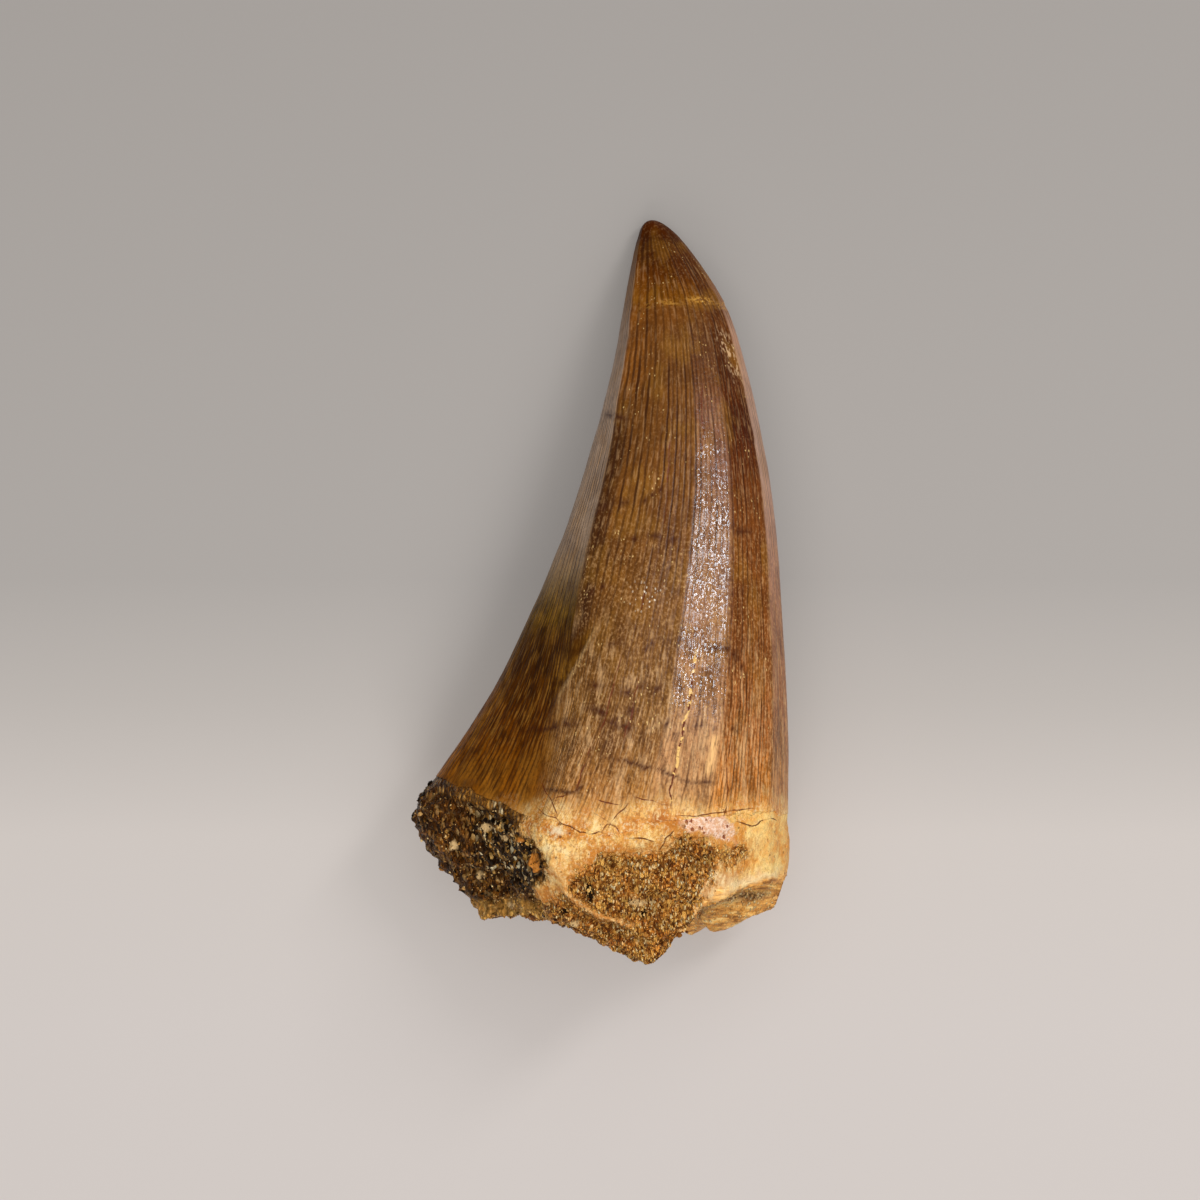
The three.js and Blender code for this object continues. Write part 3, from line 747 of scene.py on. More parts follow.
# Node trees.
class Nodes:
    """Adds nodes to a tree, with inputs given by name or number as values or as other nodes' sockets."""

    def __init__(self, tree):
        self.tree = tree

    def add(self, kind, inputs=None, **settings):
        node = self.tree.nodes.new(kind)
        for key, value in settings.items():
            setattr(node, key, value)
        for key, value in (inputs or {}).items():
            socket = node.inputs[key]
            if isinstance(value, bpy.types.NodeSocket):
                self.tree.links.new(value, socket)
            else:
                socket.default_value = value
        return node

    def math(self, operation, a, b=0.0, c=0.0, clamped=False):
        inputs = {0: a, 1: b, 2: c}
        return self.add("ShaderNodeMath", inputs, operation=operation, use_clamp=clamped).outputs[0]

    def times(self, *factors):
        return reduce(lambda a, b: self.math("MULTIPLY", a, b), factors)

    def plus(self, a, b):
        return self.math("ADD", a, b)

    def minus(self, a, b):
        return self.math("SUBTRACT", a, b)

    def blend(self, share, a, b):
        """A number between a and b."""
        return self.math("MULTIPLY_ADD", self.minus(b, a), share, a)

    def vector(self, operation, a, b):
        return self.add("ShaderNodeVectorMath", {0: a, 1: b}, operation=operation).outputs[0]

    def combine(self, x, y, z):
        return self.add("ShaderNodeCombineXYZ", {0: x, 1: y, 2: z}).outputs[0]

    def noise(self, vector, scale=1.0, detail=0.0, roughness=0.5):
        inputs = {"Vector": vector, "Scale": scale, "Detail": detail, "Roughness": roughness}
        node = self.add("ShaderNodeTexNoise", inputs)
        return next(s for s in node.outputs if s.name in ("Fac", "Factor"))

    def remap(self, value, low, high, to_low=0.0, to_high=1.0):
        inputs = {0: value, 1: low, 2: high, 3: to_low, 4: to_high}
        return self.add("ShaderNodeMapRange", inputs, interpolation_type="SMOOTHSTEP").outputs[0]


# Lengthwise lines: sets of 48, 96 and 192 round the crown, of which the finer ones end towards the
# tip. A line is found by its distance in millimetres, and its number gives it a strength of its own.
LINE_SETS = ((4, None), (2, 29.0), (1, 56.0))
FULL_TURN = 2 * math.pi
WIDEST_GIRTH = 77.0


class Lines:
    """Distances to the lengthwise lines, and noise that is drawn out along them."""

    def __init__(self, nodes, read):
        self.nodes = nodes
        self.across, self.up, self.along, self.pitch = (
            read(name) for name in ("wrap_across", "wrap_up", "along", "pitch"))
        angle = nodes.math("ARCTAN2", self.up, self.across)
        sway = nodes.minus(self.drawn_out(3.0, 7.0), 0.5)
        tremble = nodes.minus(self.drawn_out(24.0, 1.3), 0.5)
        wobble = nodes.plus(nodes.times(sway, 0.9), nodes.times(tremble, 0.55))
        self.count = nodes.plus(nodes.times(angle, LINES / FULL_TURN), wobble)
        self.girth = nodes.times(self.pitch, float(LINES))

    def drawn_out(self, waves, length, detail=0.0):
        """Noise of so many waves round the crown, each of the given length in millimetres."""
        nodes = self.nodes
        place = nodes.combine(
            nodes.times(self.across, waves / FULL_TURN * 2),
            nodes.times(self.up, waves / FULL_TURN * 2),
            nodes.times(self.along, 1 / length))
        return nodes.noise(place, detail=detail)

    def sets(self):
        """For each set: distance to its nearest line in mm, share of the set that is there, number."""
        nodes = self.nodes
        for stride, girth in LINE_SETS:
            part = nodes.math("DIVIDE", self.count, float(stride))
            number = nodes.math("ROUND", part, 0.0)
            gap = nodes.math("ABSOLUTE", nodes.minus(part, number), 0.0)
            distance = nodes.times(gap, float(stride), self.pitch)
            present = nodes.remap(self.girth, girth * 0.87, girth * 1.13) if girth else 1.0
            numbered = nodes.times(number, float(stride))
            yield distance, present, nodes.math("FLOORED_MODULO", numbered, float(LINES)), stride

    def grooves(self, width):
        """Dark lines from 0 to 1, which wane and grow along their length."""
        nodes = self.nodes
        deepest = 0.0
        for distance, present, number, _ in self.sets():
            own = nodes.add("ShaderNodeTexWhiteNoise", {"W": number}, noise_dimensions="1D").outputs[0]
            stretched = nodes.times(self.along, 0.3)
            reach = nodes.combine(nodes.times(number, 3.7), stretched, 0.0)
            lasting = nodes.remap(nodes.noise(reach, detail=1.0), 0.3, 0.55, 0.4, 1.0)
            line = nodes.remap(distance, width, width * 0.3)
            strength = nodes.times(nodes.remap(own, 0.0, 1.0, 0.5, 1.0), lasting)
            there = nodes.times(line, strength, present)
            deepest = nodes.math("MAXIMUM", deepest, there)
        return deepest

    def fibres(self, cell, length):
        """Fine fibres about one cell wide at every girth, from -0.5 to 0.5."""
        nodes = self.nodes
        total = 0.0
        for step in range(3):
            girth = WIDEST_GIRTH / 2 ** (2 - step)
            octave = nodes.math("LOGARITHM", nodes.math("DIVIDE", self.girth, girth), 2.0)
            weight = nodes.math("SUBTRACT", 1.0, nodes.math("ABSOLUTE", octave), clamped=True)
            wave = nodes.minus(self.drawn_out(girth / cell / 2, length, 1.0), 0.5)
            total = nodes.plus(total, nodes.times(wave, weight))
        return total


def new_geometry_tree(name, inputs):
    tree = bpy.data.node_groups.new(name, "GeometryNodeTree")
    tree.interface.new_socket("Geometry", in_out="INPUT", socket_type="NodeSocketGeometry")
    sockets = {}
    for label, kind in inputs.items():
        sockets[label] = tree.interface.new_socket(label, in_out="INPUT", socket_type="NodeSocket" + kind)
    tree.interface.new_socket("Geometry", in_out="OUTPUT", socket_type="NodeSocketGeometry")
    return tree, {label: socket.identifier for label, socket in sockets.items()}


def named(nodes, name, kind="FLOAT"):
    node = nodes.add("GeometryNodeInputNamedAttribute", {"Name": name}, data_type=kind)
    return node.outputs["Attribute"]


def finish_tree(nodes, geometry, given):
    realized = nodes.add("GeometryNodeRealizeInstances", {"Geometry": geometry}).outputs[0]
    painted = nodes.add("GeometryNodeSetMaterial", {"Geometry": realized, "Material": given["Material"]})
    nodes.add("NodeGroupOutput", {"Geometry": painted.outputs[0]})


def rib_tree():
    tree, identifiers = new_geometry_tree(
        "lengthwise ribs", {"Rib height": "Float", "Pebble height": "Float", "Material": "Material"})
    nodes = Nodes(tree)
    given = nodes.add("NodeGroupInput").outputs
    lines = Lines(nodes, lambda name: named(nodes, name))
    rib = 0.0
    for distance, present, _, stride in lines.sets():
        spacing = nodes.times(lines.pitch, float(stride))
        phase = nodes.times(nodes.math("DIVIDE", distance, spacing), FULL_TURN)
        wave = nodes.math("COSINE", phase, 0.0)
        depth = nodes.times(wave, spacing, present)
        rib = nodes.minus(rib, depth)
    rib = nodes.times(rib, given["Rib height"])
    place = nodes.add("GeometryNodeInputPosition").outputs[0]
    pebble = nodes.noise(nodes.vector("MULTIPLY", place, (1 / MM,) * 3), scale=1.6, detail=2.0)
    bumps = nodes.times(nodes.minus(pebble, 0.5), given["Pebble height"])
    height = nodes.times(nodes.plus(rib, bumps), named(nodes, "ribbed"))
    normal = nodes.add("GeometryNodeInputNormal").outputs[0]
    offset = nodes.add("ShaderNodeVectorMath", {0: normal, "Scale": height}, operation="SCALE").outputs[0]
    moved = nodes.add("GeometryNodeSetPosition", {"Geometry": given["Geometry"], "Offset": offset})
    finish_tree(nodes, moved.outputs[0], given)
    return tree, identifiers


# Grains strewn over the rock: each is a small angular pebble of its own shape, size and tone.
def grain_tree():
    tree, identifiers = new_geometry_tree("strewn grains", {
        "Grains per area": "Float", "Seed": "Int", "Smallest": "Float", "Largest": "Float",
        "Roundness": "Int", "Material": "Material"})
    nodes = Nodes(tree)
    given = nodes.add("NodeGroupInput").outputs
    density = nodes.times(given["Grains per area"], named(nodes, "grain_share"))
    scatter = nodes.add("GeometryNodeDistributePointsOnFaces", {
        "Mesh": given["Geometry"], "Seed": given["Seed"], "Density": density})
    rings = nodes.minus(given["Roundness"], 1.0)
    segments = nodes.plus(given["Roundness"], 1.0)
    pebble = nodes.add("GeometryNodeMeshUVSphere", {
        "Segments": segments, "Rings": rings, "Radius": 1.0}).outputs["Mesh"]
    size = nodes.add("FunctionNodeRandomValue", {2: given["Smallest"], 3: given["Largest"], "Seed": 3})
    stretch = nodes.add("FunctionNodeRandomValue", {
        0: (0.55, 0.65, 0.5), 1: (1.1, 1.35, 0.9), "Seed": 4}, data_type="FLOAT_VECTOR")
    scale = nodes.add("ShaderNodeVectorMath", {
        0: stretch.outputs[0], "Scale": size.outputs[1]}, operation="SCALE").outputs[0]
    spin = nodes.add("FunctionNodeRandomValue", {
        0: (-0.8, -0.8, -3.1), 1: (0.8, 0.8, 3.1), "Seed": 5}, data_type="FLOAT_VECTOR").outputs[0]
    turned = nodes.add("FunctionNodeRotateRotation", {
        "Rotation": scatter.outputs["Rotation"],
        "Rotate By": nodes.add("FunctionNodeEulerToRotation", {"Euler": spin}).outputs[0],
    }, rotation_space="LOCAL").outputs[0]
    strewn = nodes.add("GeometryNodeInstanceOnPoints", {
        "Points": scatter.outputs["Points"], "Instance": pebble, "Rotation": turned, "Scale": scale})
    tone = nodes.add("FunctionNodeRandomValue", {2: 0.0, 3: 1.0, "Seed": 6}).outputs[1]
    toned = nodes.add("GeometryNodeStoreNamedAttribute", {
        "Geometry": strewn.outputs[0], "Name": "tone", "Value": tone}, data_type="FLOAT", domain="INSTANCE")
    realized = nodes.add("GeometryNodeRealizeInstances", {"Geometry": toned.outputs[0]}).outputs[0]
    place = nodes.add("GeometryNodeInputPosition").outputs[0]
    chipping = nodes.add("ShaderNodeTexNoise", {
        "Vector": nodes.vector("MULTIPLY", place, (1 / MM,) * 3), "Scale": 5.0, "Detail": 0.0})
    colour = next(s for s in chipping.outputs if s.name == "Color")
    centred = nodes.vector("SUBTRACT", colour, (0.5, 0.5, 0.5))
    offset = nodes.add("ShaderNodeVectorMath", {0: centred, "Scale": given["Largest"]}, operation="SCALE")
    chipped = nodes.add("GeometryNodeSetPosition", {"Geometry": realized, "Offset": offset.outputs[0]})
    flat = nodes.add("GeometryNodeSetShadeSmooth", {"Geometry": chipped.outputs[0], "Shade Smooth": False})
    finish_tree(nodes, flat.outputs[0], given)
    return tree, identifiers


# Runs a node tree on a piece and keeps the result as a plain mesh.
def grow(source, name, tree, identifiers, settings):
    modifier = source.modifiers.new(tree.name, "NODES")
    modifier.node_group = tree
    for label, value in settings.items():
        modifier[identifiers[label]] = value
    source.update_tag()
    bpy.context.view_layer.update()
    evaluated = source.evaluated_get(bpy.context.evaluated_depsgraph_get())
    mesh = bpy.data.meshes.new_from_object(evaluated)
    source.modifiers.remove(modifier)
    mesh.name = name
    co = np.zeros(len(mesh.vertices) * 3, np.float32)
    mesh.vertices.foreach_get("co", co)
    co[2::3] = np.maximum(co[2::3], 0)
    mesh.vertices.foreach_set("co", co)
    mesh.update()
    return mesh


# Colours, as sRGB from 0 to 255.
def paint(red, green, blue):
    def linear(value):
        value = value / 255
        return value / 12.92 if value <= 0.04045 else ((value + 0.055) / 1.055) ** 2.4
    return (linear(red), linear(green), linear(blue), 1.0)


class Finish(Nodes):
    """The nodes of one surface finish: plan coordinates, attributes, masks and colour mixes."""

    def __init__(self, name):
        self.material = bpy.data.materials.new(name)
        self.material.use_nodes = True
        super().__init__(self.material.node_tree)
        self.tree.nodes.clear()
        place = self.add("ShaderNodeTexCoord").outputs["Object"]
        scaled = self.vector("MULTIPLY", place, (1 / MM,) * 3)
        self.plan = self.vector("SUBTRACT", scaled, tuple(PLAN_SHIFT))
        self.plan_x, self.plan_y, _ = self.add("ShaderNodeSeparateXYZ", {0: self.plan}).outputs

    def attribute(self, name):
        return self.add("ShaderNodeAttribute", attribute_name=name).outputs["Fac"]

    def mix(self, share, a, b, blend="MIX"):
        node = self.add("ShaderNodeMix", data_type="RGBA", blend_type=blend)
        sockets = {"Factor": share, "A": a, "B": b}
        for socket in [s for s in node.inputs if s.name in sockets and s.enabled]:
            value = sockets[socket.name]
            if isinstance(value, bpy.types.NodeSocket):
                self.tree.links.new(value, socket)
            else:
                socket.default_value = value
        return next(s for s in node.outputs if s.enabled)

    def ramp(self, value, stops):
        node = self.add("ShaderNodeValToRGB", {0: value})
        elements = node.color_ramp.elements
        while len(elements) < len(stops):
            elements.new(0.5)
        for element, (position, colour) in zip(elements, stops):
            element.position = position
            element.color = colour
        return node.outputs[0]

    def lengthwise(self, stops):
        """Colours along the tooth, from stops of plan Y and colour."""
        low, high = stops[0][0], stops[-1][0]
        share = self.add("ShaderNodeMapRange", {0: self.plan_y, 1: low, 2: high}).outputs[0]
        return self.ramp(share, [((y - low) / (high - low), colour) for y, colour in stops])

    def stretched(self, across, along, **settings):
        """Noise with its own scale across and along the tooth."""
        return self.noise(self.vector("MULTIPLY", self.plan, (across, along, across)), **settings)

    def thin_line(self, name, width):
        ragged = self.minus(self.noise(self.plan, 2.6, 2.0), 0.5)
        ragged = self.times(ragged, 1.6 * width)
        distance = self.plus(self.math("ABSOLUTE", self.attribute(name)), ragged)
        return self.remap(distance, width, width * 0.35)

    def finish(self, colour, roughness, bump_height, bump_distance, **shader):
        bump = self.add("ShaderNodeBump", {
            "Height": bump_height, "Strength": 1.0, "Distance": bump_distance * MM})
        inputs = {"Base Color": colour, "Roughness": roughness, "Normal": bump.outputs[0]}
        inputs.update(shader)
        surface = self.add("ShaderNodeBsdfPrincipled", inputs)
        self.add("ShaderNodeOutputMaterial", {"Surface": surface.outputs[0]})
        return self.material


CRACK_BROWN = paint(100, 42, 14)
PALE_MINERAL = paint(236, 190, 112)
PAINTED_GOLD_GLINT = paint(238, 200, 130)
ROCK_SHADE = paint(40, 20, 6)
BLUE_SHEEN = (0.72, 0.87, 1.0, 1.0)
AMBER_SHEEN = (1.0, 0.84, 0.6, 1.0)


# Cream bone with orange stains, brown specks and pores. It shows on the root and through the foot of
# the enamel.
def bone_colour(f):
    blotch = f.noise(f.plan, scale=0.5, detail=6.0, roughness=0.75)
    streaky = f.stretched(3.2, 1.1, detail=3.0, roughness=0.7)
    grain = f.noise(f.plan, scale=4.0, detail=2.0, roughness=0.75)
    bone = f.ramp(blotch, [
        (0.36, paint(180, 104, 36)), (0.44, paint(222, 146, 62)), (0.51, paint(240, 184, 100)),
        (0.58, paint(252, 208, 130)), (0.66, paint(255, 228, 168))])
    bone = f.mix(f.remap(streaky, 0.51, 0.62, 0.0, 0.5), bone, paint(196, 114, 36))
    bone = f.mix(f.remap(streaky, 0.48, 0.38, 0.0, 0.55), bone, paint(255, 226, 160))
    bone = f.mix(f.remap(grain, 0.53, 0.62, 0.0, 0.55), bone, paint(150, 84, 28))
    bone = f.mix(f.remap(grain, 0.46, 0.37, 0.0, 0.5), bone, paint(255, 236, 186))
    return bone, blotch, grain, streaky


# Packed grains: a random tone for each, and the distance from its middle.
def packed_grains(f, scale):
    place = f.vector("MULTIPLY", f.plan, (1.0, 0.54, 1.0))
    bend = f.add("ShaderNodeTexNoise", {"Vector": place, "Scale": scale * 0.8}).outputs["Color"]
    warped = f.vector("ADD", place, f.vector("MULTIPLY", bend, (0.7 / scale,) * 3))
    cells = f.add("ShaderNodeTexVoronoi", {"Vector": warped, "Scale": scale})
    tone = f.add("ShaderNodeSeparateColor", {0: cells.outputs["Color"]}).outputs[0]
    return tone, cells.outputs["Distance"]


def enamel_sides(f, blotch):
    lip = f.lengthwise([
        (11.0, paint(216, 148, 70)), (13.8, paint(186, 124, 56)), (16.5, paint(154, 102, 46)),
        (21.0, paint(138, 92, 38)), (26.0, paint(130, 84, 32)), (36.0, paint(128, 78, 26)),
        (46.0, paint(124, 76, 26)), (52.8, paint(120, 70, 22)), (53.3, paint(132, 80, 18)),
        (55.4, paint(106, 54, 4)), (60.0, paint(76, 30, 1))])
    # The gleaming facet is painted paler than the lip in its middle stretch, a painted sheen on top of its
    # real gloss.
    painted_sheen_gleam = f.lengthwise([
        (11.0, paint(222, 156, 84)), (15.0, paint(206, 148, 92)), (20.0, paint(196, 142, 96)),
        (24.0, paint(176, 122, 80)), (30.0, paint(164, 118, 86)), (36.0, paint(154, 108, 78)),
        (42.0, paint(150, 100, 74)), (47.0, paint(122, 72, 30)), (52.8, paint(120, 70, 22)),
        (53.3, paint(144, 88, 18)), (55.4, paint(104, 52, 4)), (60.0, paint(76, 30, 1))])
    red = f.lengthwise([
        (11.0, paint(238, 152, 64)), (15.0, paint(214, 134, 60)), (19.0, paint(190, 116, 58)),
        (28.0, paint(134, 74, 26)), (36.0, paint(122, 66, 22)), (43.0, paint(86, 32, 2)),
        (53.0, paint(108, 58, 14)), (60.0, paint(80, 36, 2))])
    strip = f.lengthwise([
        (11.0, paint(228, 154, 78)), (18.0, paint(190, 122, 68)), (26.0, paint(172, 108, 66)),
        (34.0, paint(196, 144, 116)), (42.0, paint(222, 178, 154)), (50.0, paint(212, 158, 124)),
        (56.0, paint(120, 72, 34)), (60.0, paint(86, 40, 6))])
    under = f.lengthwise([
        (11.0, paint(206, 144, 78)), (22.0, paint(146, 94, 46)), (40.0, paint(120, 72, 32)),
        (60.0, paint(80, 38, 4))])
    # The rear flank's grey-tan stretch from about 30 to 48 mm is a painted reflection of the surroundings.
    flank = f.lengthwise([
        (12.5, paint(206, 130, 28)), (17.0, paint(224, 142, 16)), (20.5, paint(156, 86, 4)),
        (24.5, paint(140, 92, 8)), (28.5, paint(140, 106, 32)), (30.5, paint(160, 128, 80)),
        (34.0, paint(200, 168, 138)), (48.0, paint(216, 184, 158)), (60.0, paint(100, 52, 12))])
    amber = f.lengthwise([
        (12.0, paint(178, 114, 34)), (15.0, paint(140, 78, 4)), (17.5, paint(120, 64, 2)),
        (21.0, paint(100, 54, 1)), (25.0, paint(78, 42, 2)), (27.5, paint(100, 60, 10))])
    colour = f.mix(f.attribute("gleam_facet"), lip, painted_sheen_gleam)
    colour = f.mix(f.attribute("red_facet"), colour, red)
    colour = f.mix(f.attribute("front_strip"), colour, strip)
    colour = f.mix(f.attribute("underside"), colour, under)
    mottled = f.mix(1.0, flank, blotch, "MULTIPLY")
    flank = f.mix(f.remap(f.plan_y, 33.0, 27.0, 0.2, 0.8), flank, mottled)
    # Painted light along the flank's edge.
    flank = f.mix(f.attribute("painted_flank_edge_light"), flank, paint(206, 140, 60))
    colour = f.mix(f.attribute("flank"), colour, flank)
    amber = f.mix(0.7, amber, f.mix(1.0, amber, blotch, "MULTIPLY"))
    colour = f.mix(f.times(f.attribute("amber_side"), 0.92), colour, amber)
    golden = f.mix(1.0, paint(186, 132, 40), blotch, "MULTIPLY")
    colour = f.mix(f.times(f.attribute("golden_side"), 0.8), colour, golden)
    gilded = f.times(f.attribute("gold_edge"), f.remap(f.plan_y, 57.0, 54.0, 0.0, 0.35))
    colour = f.mix(gilded, colour, paint(168, 98, 22))
    return f.mix(f.times(f.attribute("rear_edge"), 0.8), colour, paint(66, 34, 8))


# Flat flakes, each tilted its own way, as a height. They make a polished face glitter.
FLAKES = 6.5
FLAKE_TILT = 0.75


def tilted_flakes(f):
    cells = f.add("ShaderNodeTexVoronoi", {"Vector": f.plan, "Scale": FLAKES})
    away = f.vector("SUBTRACT", f.plan, cells.outputs["Position"])
    tilt = f.vector("SUBTRACT", cells.outputs["Color"], (0.5, 0.5, 0.5))
    lean = f.add("ShaderNodeVectorMath", {0: away, 1: tilt}, operation="DOT_PRODUCT").outputs["Value"]
    return f.times(lean, FLAKES * FLAKE_TILT)


# Fibres, a fine grain of light and dark specks, and the dark lines along the tooth.
def add_fibres(f, colour, side_share, lit_share):
    lines = Lines(f, f.attribute)
    fibre = lines.fibres(0.16, 1.2)
    ribbed = f.attribute("ribbed")
    low_share = f.remap(f.plan_y, 28.0, 19.0, 0.2, 0.55)
    light_fibre = f.times(f.remap(fibre, 0.03, 0.16), lit_share, low_share)
    dark_fibre = f.times(f.remap(fibre, -0.03, -0.16), low_share, 0.85)
    colour = f.mix(light_fibre, colour, paint(218, 172, 120))
    above_foot = f.remap(f.plan_y, 14.5, 19.0, 0.1, 1.0)
    flank_fibre = f.times(f.remap(fibre, 0.0, 0.16, 0.0, 0.3), side_share, above_foot)
    colour = f.mix(flank_fibre, colour, paint(196, 140, 60))
    colour = f.mix(dark_fibre, colour, paint(66, 34, 10))
    # Broader streaks of the lower crown.
    broad = f.stretched(1.7, 0.2, detail=4.0, roughness=0.6)
    low_crown = f.times(f.remap(f.plan_y, 30.0, 24.0), lit_share)
    dark_streak = f.times(f.remap(broad, 0.51, 0.62, 0.0, 0.5), low_crown)
    light_streak = f.times(f.remap(broad, 0.47, 0.36, 0.0, 0.4), low_crown)
    colour = f.mix(dark_streak, colour, paint(84, 48, 18))
    colour = f.mix(light_streak, colour, paint(222, 178, 126))
    speck_share = f.remap(f.plan_y, 40.0, 30.0, 0.1, 0.3)
    specks = f.stretched(1.0, 0.7, scale=4.8, detail=2.0, roughness=0.6)
    light_speck = f.times(f.remap(specks, 0.52, 0.64), lit_share, speck_share)
    colour = f.mix(light_speck, colour, paint(214, 166, 110))
    colour = f.mix(f.times(f.remap(specks, 0.48, 0.37), speck_share), colour, paint(56, 26, 6))
    groove = f.times(lines.grooves(0.12), ribbed)
    upper = f.remap(f.plan_y, 28.0, 37.0, 0.4, 0.85)
    crisp_sides = f.math("MAXIMUM", f.attribute("red_facet"), f.attribute("flank"))
    crisp = f.math("MAXIMUM", upper, f.times(crisp_sides, 0.8))
    colour = f.mix(f.times(groove, crisp), colour, paint(54, 24, 6))
    return colour, fibre, dark_fibre, groove


# The golden chipped line, the worn spot, the painted highlight along the step's edge and the pale streak.
def add_worn_marks(f, colour, fibre):
    gravel = f.noise(f.plan, scale=4.2, detail=1.0)
    towards_front = f.remap(f.plan_x, 5.0, 7.5, 0.25, 1.0)
    chip = f.times(f.attribute("chip_line"), f.remap(gravel, 0.46, 0.58))
    colour = f.mix(f.times(chip, towards_front), colour, paint(250, 186, 84))
    scuffs = f.stretched(4.0, 1.0, detail=2.0)
    worn = f.times(f.attribute("worn"), f.remap(scuffs, 0.5, 0.64))
    colour = f.mix(f.times(worn, 0.7), colour, paint(226, 186, 140))
    # Painted highlight: a thin pale line along the step's edge.
    painted_edge_highlight = f.times(f.attribute("step_edge_highlight"), f.remap(gravel, 0.34, 0.52, 0.3, 1.0))
    colour = f.mix(f.times(painted_edge_highlight, 0.7), colour, paint(222, 176, 112))
    streak = f.times(f.attribute("pale_streak"), f.remap(fibre, -0.1, 0.06, 0.3, 0.85))
    colour = f.mix(streak, colour, paint(248, 196, 128))
    return colour


# The foot of the enamel, where the bone shows through.
def add_foot(f, colour, cloud_noise, dark_fibre):
    bone = bone_colour(f)[0]
    foot_line = f.plus(f.plan_y, f.times(f.minus(cloud_noise, 0.5), 6.0))
    foot = f.times(f.remap(foot_line, 14.2, 11.0), f.remap(f.plan_x, -10.0, -3.5, 0.25, 0.95))
    colour = f.mix(foot, colour, f.mix(f.times(dark_fibre, 0.7), bone, paint(160, 96, 40)))
    return colour


# Stained bands and cracks.
def add_cracks(f, colour):
    patchy = f.remap(f.noise(f.plan, scale=1.1, detail=3.0), 0.3, 0.5, 0.25, 0.95)
    colour = f.mix(f.times(f.attribute("band"), patchy), colour, paint(66, 28, 10))
    crack = f.times(f.thin_line("crack", 0.065), f.attribute("crack_strength"))
    hairline = f.times(f.thin_line("hairline", 0.08), f.attribute("hairline_strength"))
    waning = f.remap(f.noise(f.plan, scale=0.9, detail=2.0), 0.36, 0.52, 0.25, 0.9)
    dark_lines = f.times(f.math("MAXIMUM", crack, f.times(hairline, 0.9)), waning)
    colour = f.mix(dark_lines, colour, CRACK_BROWN)
    filled = f.attribute("filled_crack_strength")
    colour = f.mix(f.times(f.thin_line("filled_crack", 0.11), filled), colour, CRACK_BROWN)
    beads = f.remap(f.noise(f.plan, 1.9, 2.0), 0.51, 0.57)
    mineral = f.times(f.thin_line("filled_crack", 0.17), beads)
    colour = f.mix(f.times(mineral, filled), colour, PALE_MINERAL)
    return colour, dark_lines


# Painted glints: golden glint flecks in swarms, and white glint dots painted in the middle of the lip side.
def add_painted_glints(f, colour, lit_share):
    swarm = f.remap(f.noise(f.plan, scale=0.4, detail=3.0), 0.5, 0.64, 0.0, 0.75)
    dot_tone, dot_gap = packed_grains(f, 4.4)
    painted_gold_glint = f.times(f.remap(dot_gap, 0.3, 0.16), f.remap(dot_tone, 0.7, 0.76), swarm, lit_share)
    colour = f.mix(painted_gold_glint, colour, PAINTED_GOLD_GLINT)
    # Painted glints: white dots, only inside the glint spot.
    painted_white_glint = f.times(f.remap(dot_gap, 0.36, 0.2), f.remap(dot_tone, 0.5, 0.6))
    colour = f.mix(f.times(painted_white_glint, f.attribute("painted_glint_spot")), colour, paint(255, 240, 214))
    return colour


# Polish: the gleaming facet glitters, and the rest is duller.
def polish(f, side_share, fibre, groove, dark_lines):
    patches = f.stretched(0.5, 0.9, detail=2.0)
    patches = f.remap(patches, 0.4, 0.55, 0.6, 1.0)
    middle = f.remap(f.plan_y, 47.0, 38.0, 0.55, 1.0)
    polished = f.times(f.attribute("gleam_facet"), f.remap(f.plan_y, 18.0, 22.0), patches, middle)
    roughness = f.math("MULTIPLY_ADD", polished, -0.27, 0.4)
    glitter = f.blend(polished, f.noise(f.plan, scale=4.0, detail=1.0, roughness=0.35), tilted_flakes(f))
    relief = f.times(glitter, f.math("MULTIPLY_ADD", polished, 0.65, 0.35))
    relief = f.plus(relief, f.times(fibre, 0.2))
    relief = f.minus(relief, f.times(groove, 0.3))
    relief = f.minus(relief, f.times(dark_lines, 0.15))
    dull = f.times(side_share, f.remap(f.plan_y, 33.0, 27.0))
    dull = f.math("MAXIMUM", dull, f.remap(f.plan_y, 50.0, 54.0, 0.0, 1.0))
    dull = f.math("MAXIMUM", dull, f.times(f.attribute("red_facet"), 0.75))
    gloss = f.math("MULTIPLY_ADD", dull, -0.85, 1.0)
    shine = f.times(f.math("MULTIPLY_ADD", polished, 0.5, 0.24), gloss)
    return roughness, relief, shine


def enamel_finish():
    f = Finish("fossil enamel")
    blotch = f.ramp(f.stretched(1.0, 0.45, detail=5.0, roughness=0.7), [
        (0.36, paint(96, 74, 60)), (0.5, paint(214, 206, 186)), (0.62, paint(255, 246, 220))])
    colour = enamel_sides(f, blotch)
    side_share = f.math("MAXIMUM", f.attribute("flank"), f.attribute("amber_side"))
    lit_share = f.minus(1.0, side_share)
    # Broad clouds and golden stains.
    cloud_noise = f.noise(f.plan, scale=0.3, detail=5.0, roughness=0.65)
    cloud = f.remap(cloud_noise, 0.36, 0.62)
    colour = f.mix(cloud, f.mix(0.35, colour, paint(96, 56, 16), "MULTIPLY"), colour)
    stain = f.remap(f.stretched(0.5, 0.22, detail=4.0), 0.5, 0.66)
    colour = f.mix(f.times(stain, 0.3), colour, paint(168, 116, 40))
    colour, fibre, dark_fibre, groove = add_fibres(f, colour, side_share, lit_share)
    colour = add_worn_marks(f, colour, fibre)
    colour = add_foot(f, colour, cloud_noise, dark_fibre)
    colour, dark_lines = add_cracks(f, colour)
    colour = add_painted_glints(f, colour, lit_share)
    roughness, relief, shine = polish(f, side_share, fibre, groove, dark_lines)
    return f.finish(colour, roughness, relief, 0.06, **{
        "IOR": 1.55, "Specular IOR Level": shine, "Specular Tint": BLUE_SHEEN})


